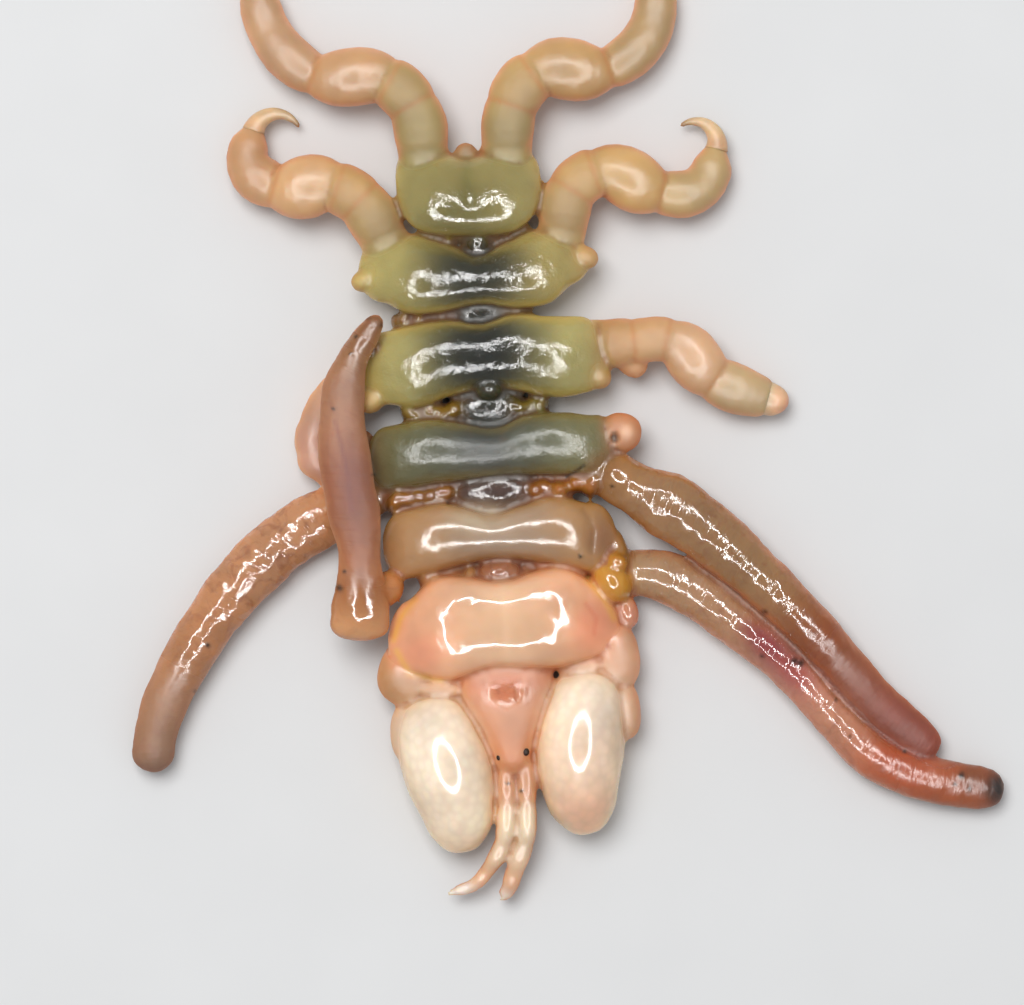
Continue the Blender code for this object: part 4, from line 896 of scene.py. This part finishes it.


# Marks: the dark gut seen through the hind segments, the blush on the second segment's corners, a
# milky patch with painted sheen on the third segment, a painted highlight and painted shade on the lobe
# at the fourth gill's root, the bruised patches and the black end of the gills. Each is (place, size,
# heading, depth, colour, strength).
PATCHES = [
    ((-0.05, 2.20), (1.35, 0.78), 0, 0.0, "1f211c", 0.92),
    ((0.00, 4.00), (1.25, 0.66), 0, 0.0, "2c2d24", 0.86),
    ((-1.10, 0.10), (1.25, 0.50), 0, 0.0, "474a30", 0.60),
    ((0.95, 0.05), (1.05, 0.48), 0, 0.0, "4d5234", 0.55),
    ((-0.15, 0.20), (0.80, 0.62), 0, 0.0, "3c3e38", 0.80),
    ((-0.20, 5.40), (0.95, 0.60), 0, 0.0, "5e5b32", 0.55),
    ((-1.90, -4.45), (0.62, 0.50), 20, 0.0, "e88e70", 0.45),
    ((2.00, -4.15), (0.50, 0.70), -15, 0.0, "e88868", 0.50),
    ((0.05, -4.00), (1.10, 0.60), 0, 0.0, "d6ac86", 0.40),
    # Milky flesh in the middle of the third segment, lightened further with painted sheen.
    ((-0.35, -1.50), (0.75, 0.38), 0, 0.0, "c4b094", 0.65),
    ((2.30, -2.20), (0.40, 0.42), 0, 0.03, "8a5a44", 0.45),
    ((2.50, -0.55), (0.50, 0.42), 0, 0.0, "7a5022", 0.60),
    ((-0.08, -5.34), (0.80, 0.46), 0, 0.05, "cc785a", 0.50),
    ((-0.06, -5.62), (0.50, 0.22), 0, 0.025, "cc7656", 0.25),
    ((5.85, -4.85), (0.85, 0.34), -46, 0.0, "8c2434", 0.80),
    ((6.45, -5.55), (0.55, 0.30), -50, 0.0, "a03a38", 0.60),
    ((-3.15, -0.60), (0.30, 1.30), 0, 0.0, "7a2c12", 0.60),
    ((-3.10, -2.00), (0.40, 0.60), 0, 0.0, "8a4628", 0.35),
    ((-2.60, 2.80), (0.40, 0.50), 0, 0.0, "7c4c24", 0.50),
    ((10.95, -8.55), (0.52, 0.48), -10, 0.0, "0e0805", 0.97),
    ((10.25, -8.20), (0.35, 0.30), 0, 0.0, "6a3c1c", 0.60),
    ((9.2, -7.15), (1.3, 0.34), -40, 0.0, "8e300c", 0.60),
    ((8.6, -7.7), (0.8, 0.45), -35, 0.0, "b84c1c", 0.50),
    # The lobe by the fourth gill's root: a raised painted highlight, and a deep dent painted dark with its shade.
    ((3.10, 0.16), (0.16, 0.20), 0, -0.02, "e0b898", 0.70),
    ((2.82, 0.05), (0.10, 0.14), 0, 0.16, "3a1c0c", 0.85),
    ((2.92, -0.92), (0.50, 0.40), -30, 0.0, "a87a50", 0.40),
]
# Creases and veins, each a stroke, two of them darkened with painted shade: (points, radius, depth, colour, strength)
STROKES = [
    # The groove down the middle of the seventh segment, darkened with painted shade.
    (((0.0, 6.75), (-0.02, 6.10), (0.0, 5.60)), 0.14, 0.040, "6e6a34", 0.30),
    (((0.02, -3.10), (0.05, -4.80)), 0.09, 0.0, "ecccaa", 0.25),
    (((-1.95, -3.20), (-2.30, -3.60), (-2.50, -4.10)), 0.08, 0.0, "e8b04c", 0.65),
    (((1.95, -3.10), (2.30, -3.55), (2.48, -4.00)), 0.08, 0.0, "e8b04c", 0.55),
    (((-2.45, -4.35), (-2.20, -4.88), (-1.50, -5.10)), 0.08, 0.0, "e8b456", 0.60),
    (((1.88, -3.62), (2.10, -3.95), (2.02, -4.30)), 0.05, 0.010, "dc7654", 0.35),
    (((1.66, -0.74), (1.9, -0.63), (2.07, -0.52)), 0.035, 0.03, "1c1008", 0.85),
    (((2.00, -1.50), (2.18, -1.95), (2.10, -2.45)), 0.09, 0.03, "8a6038", 0.40),
    (((-0.44, -5.16), (-0.42, -5.55), (-0.10, -5.88), (0.25, -5.68), (0.38, -5.22)), 0.08, -0.020,
     "dca07c", 0.35),
    (((-0.34, -5.28), (-0.05, -5.36), (0.24, -5.26)), 0.05, 0.012, "b85c44", 0.15),
    (((-0.30, -5.46), (0.00, -5.52), (0.20, -5.44)), 0.05, 0.012, "b85c44", 0.12),
    (((-0.24, -5.62), (0.02, -5.66)), 0.05, 0.010, "b85c44", 0.10),
    (((6.60, 5.35), (6.90, 5.15)), 0.05, 0.03, "2a160a", 0.85),
    (((-3.40, 0.90), (-3.20, -0.30), (-3.20, -1.10)), 0.05, 0.015, "7a342c", 0.45),
    # The line where the two left gills lie against each other, pressed in and darkened with painted shade.
    (((4.30, -2.78), (5.55, -3.90), (6.65, -5.10), (7.20, -6.00), (7.95, -6.85)), 0.05, 0.05, "9a5a34",
     0.50),
]
# Specks of dirt that stick to the skin, each with its radius
SPECKS = [
    (-2.51, 3.19, 0.083), (-2.19, 2.98, 0.073), (-2.80, 2.76, 0.045), (-3.42, 1.18, 0.045),
    (-3.62, -2.82, 0.093), (-3.46, -2.47, 0.047), (-6.70, -3.89, 0.062), (-7.07, -4.93, 0.052),
    (5.88, -4.13, 0.078), (6.47, -5.29, 0.088), (6.62, -5.35, 0.088), (5.76, -5.12, 0.045),
    (7.60, -7.10, 0.045), (-1.04, -1.12, 0.045), (1.84, -2.55, 0.047), (-0.18, -7.51, 0.045),
    (0.10, -7.71, 0.047), (-2.66, -0.36, 0.045), (-2.94, 2.38, 0.045), (2.68, -1.03, 0.045),
    (7.35, -6.24, 0.045), (8.81, -7.53, 0.052), (10.05, -8.17, 0.078), (10.20, -8.48, 0.068),
    (9.88, -8.34, 0.052),
]
# Where the skin is wetter than round about: (place, size, heading, zone, strength)
WET_PLACES = [
    ((-0.06, -5.50), (0.62, 0.34), 0, (0.0, 1.2, 1.4, 0.0), 0.95),
    ((0.0, 0.25), (0.9, 0.55), 0, (0.0, 0.3, 1.6, 0.75), 0.8),
]
for place, size, heading, zone, strength in WET_PLACES:
    part = (within(place, size, heading) * strength)[:, None]
    skin_zone[:] = skin_zone * (1 - part) + np.array(zone) * part
for place, size, heading, depth, code, strength in PATCHES:
    mark_skin(within(place, size, heading), depth, code, strength)
for points, radius, depth, code, strength in STROKES:
    mark_skin(beside(points, radius), depth, code, strength)
for points in creases:
    mark_skin(beside(points, 0.06), 0.012, "c07a40", 0.40)
for x, y, radius in SPECKS:
    mark_skin(within((x, y), (radius * 1.3, radius), x * 60), -0.02, "1a0e08", 0.95)

spots[:, 2] = np.maximum(spots[:, 2], 0.0)
for vert, spot in zip(bm.verts, spots):
    vert.co = spot

# The length along a gill, in millimetres, that its cross wrinkles are drawn by
way = [(course.place(step * COURSE_STEP), course.ahead(step * COURSE_STEP), step * COURSE_STEP)
       for course in gill_courses.values() for step in range(len(course.places))]
tree = kdtree.KDTree(len(way))
for index, (place, ahead, distance) in enumerate(way):
    tree.insert(place, index)
tree.balance()
along = np.zeros(count)
for index in np.nonzero(skin_zone[:, 1] > WRINKLED)[0]:
    spot = Vector(spots[index])
    place, ahead, distance = way[tree.find(spot)[1]]
    along[index] = distance + (spot - place).dot(ahead)
into_frame(bm)
# The flanks get the painted glow of light through the clear edge, and the back keeps its own colour.
flank_glow = np.clip((FLANK_START - facing[:, 2]) / FLANK_SPAN, 0, 1)[:, None]
flank_glow = flank_glow * flank_glow * (3 - 2 * flank_glow)
tint = skin_top * (1 - flank_glow) + skin_rim_glow * flank_glow
skin_mesh = mesh_of(bm, "skin")
tint = np.concatenate([tint, along[:, None]], axis=1)
for name, values in (("tint", tint), ("zones", skin_zone)):
    skin_mesh.attributes.new(name, "FLOAT_COLOR", "POINT").data.foreach_set("color", values.ravel())
skin = shown("skin", skin_mesh)


def add_node(tree, kind, values=(), **settings):
    """Places a shader node, with the values of its inputs by name or number, and its settings."""
    placed = tree.nodes.new("ShaderNode" + kind)
    for name, value in settings.items():
        setattr(placed, name, value)
    for name, value in dict(values).items():
        if hasattr(value, "is_output"):
            tree.links.new(value, placed.inputs[name])
        else:
            placed.inputs[name].default_value = value
    return placed


def remapped(tree, value, span, result):
    """Turns a value that runs over one span into one that runs over another."""
    return add_node(tree, "MapRange", {"Value": value, 1: span[0], 2: span[1], 3: result[0], 4: result[1]})


def grain_group():
    """Fine wet grain of cuticle: a height for the bump and a slow change of shade."""
    group = bpy.data.node_groups.new("Cuticle grain", "ShaderNodeTree")
    for name, value in (("Coarse scale", 700.0), ("Fine scale", 5000.0), ("Fine share", 0.4)):
        group.interface.new_socket(name, in_out="INPUT",
                                   socket_type="NodeSocketFloat").default_value = value
    for name in ("Height", "Shade"):
        group.interface.new_socket(name, in_out="OUTPUT", socket_type="NodeSocketFloat")
    inward = group.nodes.new("NodeGroupInput")
    outward = group.nodes.new("NodeGroupOutput")
    place = group.nodes.new("ShaderNodeTexCoord").outputs["Object"]
    slow = add_node(group, "TexNoise", {"Vector": place, "Scale": inward.outputs["Coarse scale"],
                                        "Detail": 2.0})
    quick = add_node(group, "TexNoise", {"Vector": place, "Scale": inward.outputs["Fine scale"],
                                         "Detail": 3.0})
    height = add_node(group, "Mix", {
        "Factor": inward.outputs["Fine share"], 2: slow.outputs["Fac"], 3: quick.outputs["Fac"]})
    group.links.new(height.outputs[0], outward.inputs["Height"])
    group.links.new(slow.outputs["Fac"], outward.inputs["Shade"])
    return group


def new_material(name):
    material = bpy.data.materials.new(name)
    material.use_nodes = True
    return material, material.node_tree, material.node_tree.nodes["Principled BSDF"]


GLOW_COLOUR = (1.0, 0.5, 0.25)
cuticle_grain = grain_group()
flesh_look, tree, shader = new_material("flesh")
tint_in = add_node(tree, "Attribute", attribute_name="tint")
zone_in = add_node(tree, "Attribute", attribute_name="zones")
zone = add_node(tree, "SeparateColor", {"Color": zone_in.outputs["Color"]})
mottle = add_node(tree, "Group", {"Coarse scale": 900.0}, node_tree=cuticle_grain)
place = add_node(tree, "TexCoord").outputs["Object"]
cells = add_node(tree, "TexVoronoi", {"Vector": place, "Scale": 4800.0, "Smoothness": 0.6},
                 feature="SMOOTH_F1")
net = remapped(tree, cells.outputs["Distance"], (0.30, 0.70), (0.0, 0.22))
net_here = add_node(tree, "Math", {0: net.outputs[0], 1: zone.outputs["Red"]}, operation="MULTIPLY")
netted = add_node(tree, "Mix", {
    "Factor": net_here.outputs[0], 6: tint_in.outputs["Color"], 7: (0.60, 0.43, 0.30, 1.0)},
    data_type="RGBA")
streaks = add_node(tree, "TexNoise", {"Vector": place, "Scale": 2600.0, "Detail": 4.0, "Distortion": 1.2})
blotch = remapped(tree, streaks.outputs["Fac"], (0.50, 0.72), (0.0, 0.30))
blotch_here = add_node(tree, "Math", {0: blotch.outputs[0], 1: zone.outputs["Green"]}, operation="MULTIPLY")
mottled = add_node(tree, "Mix", {
    "Factor": blotch_here.outputs[0], 6: netted.outputs[2], 7: (0.22, 0.07, 0.04, 1.0)}, data_type="RGBA")
lift = remapped(tree, mottle.outputs["Shade"], (0.3, 0.7), (0.86, 1.12))
body_colour = add_node(tree, "VectorMath", {0: mottled.outputs[2], "Scale": lift.outputs[0]},
                       operation="SCALE")
gloss = remapped(tree, zone_in.outputs["Alpha"], (0.0, 1.0), (0.07, 0.68))
grain = add_node(tree, "Group", {"Coarse scale": 3500.0, "Fine scale": 18000.0, "Fine share": 0.22},
                 node_tree=cuticle_grain)
grain_here = add_node(tree, "Math", {0: zone.outputs["Blue"], 1: 0.08}, operation="ADD")
grain_height = add_node(tree, "Math", {0: grain.outputs["Height"], 1: grain_here.outputs[0]},
                        operation="MULTIPLY")
cross = add_node(tree, "CombineXYZ", {"X": tint_in.outputs["Alpha"]})
cross_place = add_node(tree, "VectorMath", {0: cross.outputs[0], 1: (9.0, 0.0, 0.0)}, operation="MULTIPLY")
cross_wander = add_node(tree, "VectorMath",
                        {0: place, 1: (2200.0, 2200.0, 2200.0), 2: cross_place.outputs[0]},
                        operation="MULTIPLY_ADD")
ticks = add_node(tree, "TexNoise", {"Vector": cross_wander.outputs[0], "Scale": 1.0, "Detail": 2.0})
tick_height = add_node(tree, "Math", {0: ticks.outputs["Fac"], 1: zone.outputs["Green"],
                                      2: grain_height.outputs[0]},
                       operation="MULTIPLY_ADD")
bump = add_node(tree, "Bump", {"Height": tick_height.outputs[0], "Strength": 1.0, "Distance": 0.000018})
tree.links.new(body_colour.outputs[0], shader.inputs["Base Color"])
tree.links.new(gloss.outputs[0], shader.inputs["Roughness"])
tree.links.new(bump.outputs[0], shader.inputs["Normal"])
shader.inputs["IOR"].default_value = 1.5
shader.inputs["Subsurface Weight"].default_value = 0.65
shader.inputs["Subsurface Radius"].default_value = GLOW_COLOUR
shader.inputs["Subsurface Scale"].default_value = 0.0004
skin_mesh.materials.append(flesh_look)
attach(skin, "root")
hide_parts(*[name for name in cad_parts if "claw" not in name and not name.startswith("eye")])

# Claws: smooth, tapering hooks of hard, clear horn, amber at the tip, one at the end of each leg,
# one folded under each hand and a small one on each first gnathopod. Each is set in soft flesh.
LEG_CLAWS = {
    (7, "right"): ((-85, -30), 1.5, (0.58, 0.56), 0.10), (7, "left"): ((85, -30), 1.5, (0.58, 0.56), 0.10),
    (6, "right"): ((-135, -15), 1.10, (0.53, 0.54), 0.08),
    (6, "left"): ((140, -15), 1.05, (0.53, 0.54), 0.08),
    (5, "left"): ((-18, -8), 0.26, (0.78, 0.64), 0.64),
    (5, "right"): ((110, -10), 0.50, (0.50, 0.52), 0.10),
}
LEG_CLAW_TINTS = {
    5: [(0.0, "d8b48c"), (0.6, "dcae88"), (1.0, "d89a78")],
    6: [(0.0, "cca078"), (0.35, "d4b48a"), (0.75, "c4ac88"), (1.0, "8a7454")],
    7: [(0.0, "dca26a"), (0.4, "d8aa78"), (0.8, "b48a5c"), (1.0, "6a4426")],
}
CLAW_RINGS = 26
CLAW_SIDES = 22
CLAW_SUNK = 0.14
claw_look, tree, shader = new_material("claw horn")
claw_tint = add_node(tree, "Attribute", attribute_name="tint")
claw_grain = add_node(tree, "Group", {"Coarse scale": 2500.0, "Fine scale": 9000.0},
                      node_tree=cuticle_grain)
claw_lift = remapped(tree, claw_grain.outputs["Shade"], (0.3, 0.7), (0.85, 1.12))
claw_colour = add_node(tree, "VectorMath", {0: claw_tint.outputs["Color"], "Scale": claw_lift.outputs[0]},
                       operation="SCALE")
claw_bump = add_node(tree, "Bump", {"Height": claw_grain.outputs["Height"], "Strength": 0.5,
                                    "Distance": 0.00002})
claw_gloss = remapped(tree, claw_grain.outputs["Height"], (0.3, 0.7), (0.32, 0.46))
tree.links.new(claw_colour.outputs[0], shader.inputs["Base Color"])
tree.links.new(claw_bump.outputs[0], shader.inputs["Normal"])
tree.links.new(claw_gloss.outputs[0], shader.inputs["Roughness"])
shader.inputs["IOR"].default_value = 1.45
shader.inputs["Subsurface Weight"].default_value = 0.6
shader.inputs["Subsurface Radius"].default_value = GLOW_COLOUR
shader.inputs["Subsurface Scale"].default_value = 0.0003


def claw(name, place, aim, turns, length, base, tip, tints):
    """A hook that leaves a place at an aim of (heading, pitch) and turns over its length."""
    stride = length / CLAW_RINGS
    here = Vector(place)
    sections = [cross_section(here, aim[0], aim[1], base[0], base[1])]
    for ring in range(1, CLAW_RINGS + 1):
        share = ring / CLAW_RINGS
        halfway = share - 0.5 / CLAW_RINGS
        stretch = cross_section(here, aim[0] + turns[0] * halfway, aim[1] + turns[1] * halfway, 2.0, 2.0)
        here = here + stretch.col[2].to_3d() * stride
        here.z = max(here.z, tip / 2)
        thin = share ** 0.9
        close = (1 - max(0.0, (share - 1 + tip / length / 2) / (tip / length / 2 * 1.03)) ** 2) ** 0.5
        width = (base[0] + (tip - base[0]) * thin) * close
        height = (base[1] + (tip - base[1]) * thin) * close
        sections.append(cross_section(here, aim[0] + turns[0] * share, aim[1] + turns[1] * share, width,
                                      height))
    bm, rings = loft(sections, CLAW_SIDES, (2.0, 2.0))
    for vert in bm.verts:
        vert.co.z = max(vert.co.z, 0.0)
    bm.verts.index_update()
    values = [0.0] * (4 * len(bm.verts))
    for index, ring in enumerate(rings):
        for vert in ring:
            values[4 * vert.index:4 * vert.index + 4] = (*eased(tints, index / (len(rings) - 1)), 1.0)
    into_frame(bm)
    mesh = mesh_of(bm, name)
    mesh.attributes.new("tint", "FLOAT_COLOR", "POINT").data.foreach_set("color", values)
    mesh.materials.append(claw_look)
    piece = shown(name, mesh)
    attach(piece, "root")
    return piece


for (number, side), (turns, length, base, tip) in LEG_CLAWS.items():
    course = leg_courses[number, side]
    start = course.end - CLAW_SUNK
    hook = claw(f"claw_leg_{number}_{side}", course.place(start), (course.heading(course.end), 0.0), turns,
                length + 0.22, base, tip, tints_of(LEG_CLAW_TINTS[number]))
    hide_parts(f"leg_{number}_{side}_claw")
HAND_CLAW_TINTS = [(0.0, "d9a070"), (0.6, "c07c48"), (1.0, "6a3a1c")]
for side, course in hand_courses.items():
    knuckle = course.place(course.end - KNUCKLE_BACK - 0.5)
    hook = claw(f"claw_hand_{side}", (knuckle.x, knuckle.y, 0.36),
                (course.heading(course.end) + 180, -12.0),
                (0.0, 10.0), 1.75, (0.50, 0.44), 0.08, tints_of(HAND_CLAW_TINTS))
    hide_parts(f"gnathopod_2_{side}_claw")
for side, (root, articles) in SMALL_ARMS.items():
    course = Course(root, articles, (0.35, 0.30))
    turn = -34.0 if side == "left" else 34.0
    hook = claw(f"claw_small_arm_{side}", course.place(course.end - 0.05),
                (course.heading(course.end), 0.0),
                (turn, 0.0), 0.50, (0.28, 0.26), 0.06, tints_of(HAND_CLAW_TINTS))
    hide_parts(f"gnathopod_1_{side}_claw")

# Eyes: two small, dark domes of glossy cuticle at the front of the head, sunk in it to more than
# half their height.
EYE_PLACES = {"left": (0.27, -6.84, 1.31), "right": (-0.33, -6.92, 1.28)}
EYE_RADII = {"left": 0.082, "right": 0.068}
EYE_SHAPE = (1.0, 1.1, 0.9)
eye_look, tree, shader = new_material("eye")
eye_grain = add_node(tree, "Group", {"Coarse scale": 9000.0, "Fine scale": 22000.0},
                     node_tree=cuticle_grain)
eye_colour = add_node(tree, "Mix", {
    "Factor": eye_grain.outputs["Shade"], 6: (0.010, 0.005, 0.003, 1.0), 7: (0.050, 0.024, 0.012, 1.0)},
    data_type="RGBA")
eye_gloss = remapped(tree, eye_grain.outputs["Height"], (0.3, 0.7), (0.42, 0.60))
tree.links.new(eye_colour.outputs[2], shader.inputs["Base Color"])
tree.links.new(eye_gloss.outputs[0], shader.inputs["Roughness"])
shader.inputs["Specular IOR Level"].default_value = 0.15
for side, place in EYE_PLACES.items():
    bm = bmesh.new()
    bmesh.ops.create_uvsphere(bm, u_segments=24, v_segments=16, radius=EYE_RADII[side])
    bmesh.ops.scale(bm, vec=EYE_SHAPE, verts=bm.verts)
    bmesh.ops.translate(bm, vec=Vector(place), verts=bm.verts)
    into_frame(bm)
    mesh = mesh_of(bm, f"eye_dome_{side}")
    mesh.materials.append(eye_look)
    dome = shown(f"eye_dome_{side}", mesh)
    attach(dome, "root")
    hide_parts(f"eye_{side}")

# The stage: a plain pale floor, a big soft light from above and a ring of narrow lights round the
# lens, which shows as a loop on each wet swelling.
floor_look, tree, shader = new_material("pale floor")
floor_noise = add_node(tree, "TexNoise", {"Scale": 300.0, "Detail": 2.0})
floor_colour = add_node(tree, "Mix", {
    "Factor": floor_noise.outputs["Fac"], 6: (0.66, 0.66, 0.66, 1.0), 7: (0.70, 0.70, 0.70, 1.0)},
    data_type="RGBA")
tree.links.new(floor_colour.outputs[2], shader.inputs["Base Color"])
shader.inputs["Roughness"].default_value = 0.8
shader.inputs["Specular IOR Level"].default_value = 0.0
bm = bmesh.new()
bmesh.ops.create_grid(bm, x_segments=1, y_segments=1, size=0.5)
bmesh.ops.translate(bm, vec=(0.0, 0.0, -0.00002), verts=bm.verts)
mesh = mesh_of(bm, "floor")
mesh.materials.append(floor_look)
floor = shown("floor", mesh)

TRUNK_LENGTH = 14.0
TRUNK_PIXELS = 620
PIXEL = TRUNK_LENGTH / TRUNK_PIXELS
TILT = math.radians(4.5)
PHOTO_WIDTH = 1024
PHOTO_CENTRE = (512.0, 502.5)
BODY_ORIGIN = (490.0, 450.0)
CAMERA_HEIGHT = 120.0
FOCUS_LEVEL = 0.9
u = PIXEL * (PHOTO_CENTRE[0] - BODY_ORIGIN[0])
v = PIXEL * (BODY_ORIGIN[1] - PHOTO_CENTRE[1])
east = u * math.cos(TILT) + v * math.sin(TILT)
north = v * math.cos(TILT) - u * math.sin(TILT)
middle = Vector((east, north, 0.0)) + CENTRE_SHIFT
lens = bpy.data.cameras.new("camera")
lens.sensor_width = 36.0
lens.lens = lens.sensor_width * CAMERA_HEIGHT / (PHOTO_WIDTH * PIXEL)
lens.clip_start = 0.001
lens.clip_end = 10.0
camera = shown("camera", lens)
camera.location = (middle + Vector((0.0, 0.0, CAMERA_HEIGHT + FOCUS_LEVEL))) * MM
camera.rotation_euler = (0.0, 0.0, -TILT)
bpy.context.scene.camera = camera


def soft_light(name, place, size, power, aim=(0.0, 0.0, 0.0)):
    """A rectangular light that faces its aim, in metres and watts."""
    light = bpy.data.lights.new(name, "AREA")
    light.shape = "RECTANGLE"
    light.size, light.size_y = size
    light.energy = power
    lamp = shown(name, light)
    lamp.location = place
    lamp.rotation_euler = (Vector(aim) - Vector(place)).to_track_quat("-Z", "Y").to_euler()
    lamp.visible_camera = False
    return lamp


overhead = soft_light("overhead", (-0.04, 0.07, 0.20), (0.12, 0.12), 0.36)
overhead.visible_glossy = False
RING_LIGHTS = 18
RING_RADIUS = 0.036
RING_HEIGHT = 0.062
RING_WIDTH = 0.0026
RING_POWER = 0.18
RING_CENTRE = (0.0, -0.003)
for step in range(RING_LIGHTS):
    turn = 2 * math.pi * step / RING_LIGHTS
    spot = (RING_CENTRE[0] + RING_RADIUS * math.cos(turn),
            RING_CENTRE[1] + RING_RADIUS * math.sin(turn), RING_HEIGHT)
    size = (RING_WIDTH, 2 * math.pi * RING_RADIUS / RING_LIGHTS)
    lamp = soft_light(f"ring_{step}", spot, size, RING_POWER / RING_LIGHTS)
    inward = Vector((-spot[0], -spot[1], -RING_HEIGHT)).normalized()
    side = Vector((-math.sin(turn), math.cos(turn), 0.0))
    across = side.cross(-inward).normalized()
    lamp.rotation_euler = Matrix((across, side, -inward)).transposed().to_euler()
    lamp.visible_diffuse = False
world = bpy.data.worlds.new("studio")
world.use_nodes = True
world.node_tree.nodes["Background"].inputs["Color"].default_value = (0.96, 0.98, 1.0, 1.0)
world.node_tree.nodes["Background"].inputs["Strength"].default_value = 0.50
bpy.context.scene.world = world
bpy.context.scene.view_settings.view_transform = "Standard"
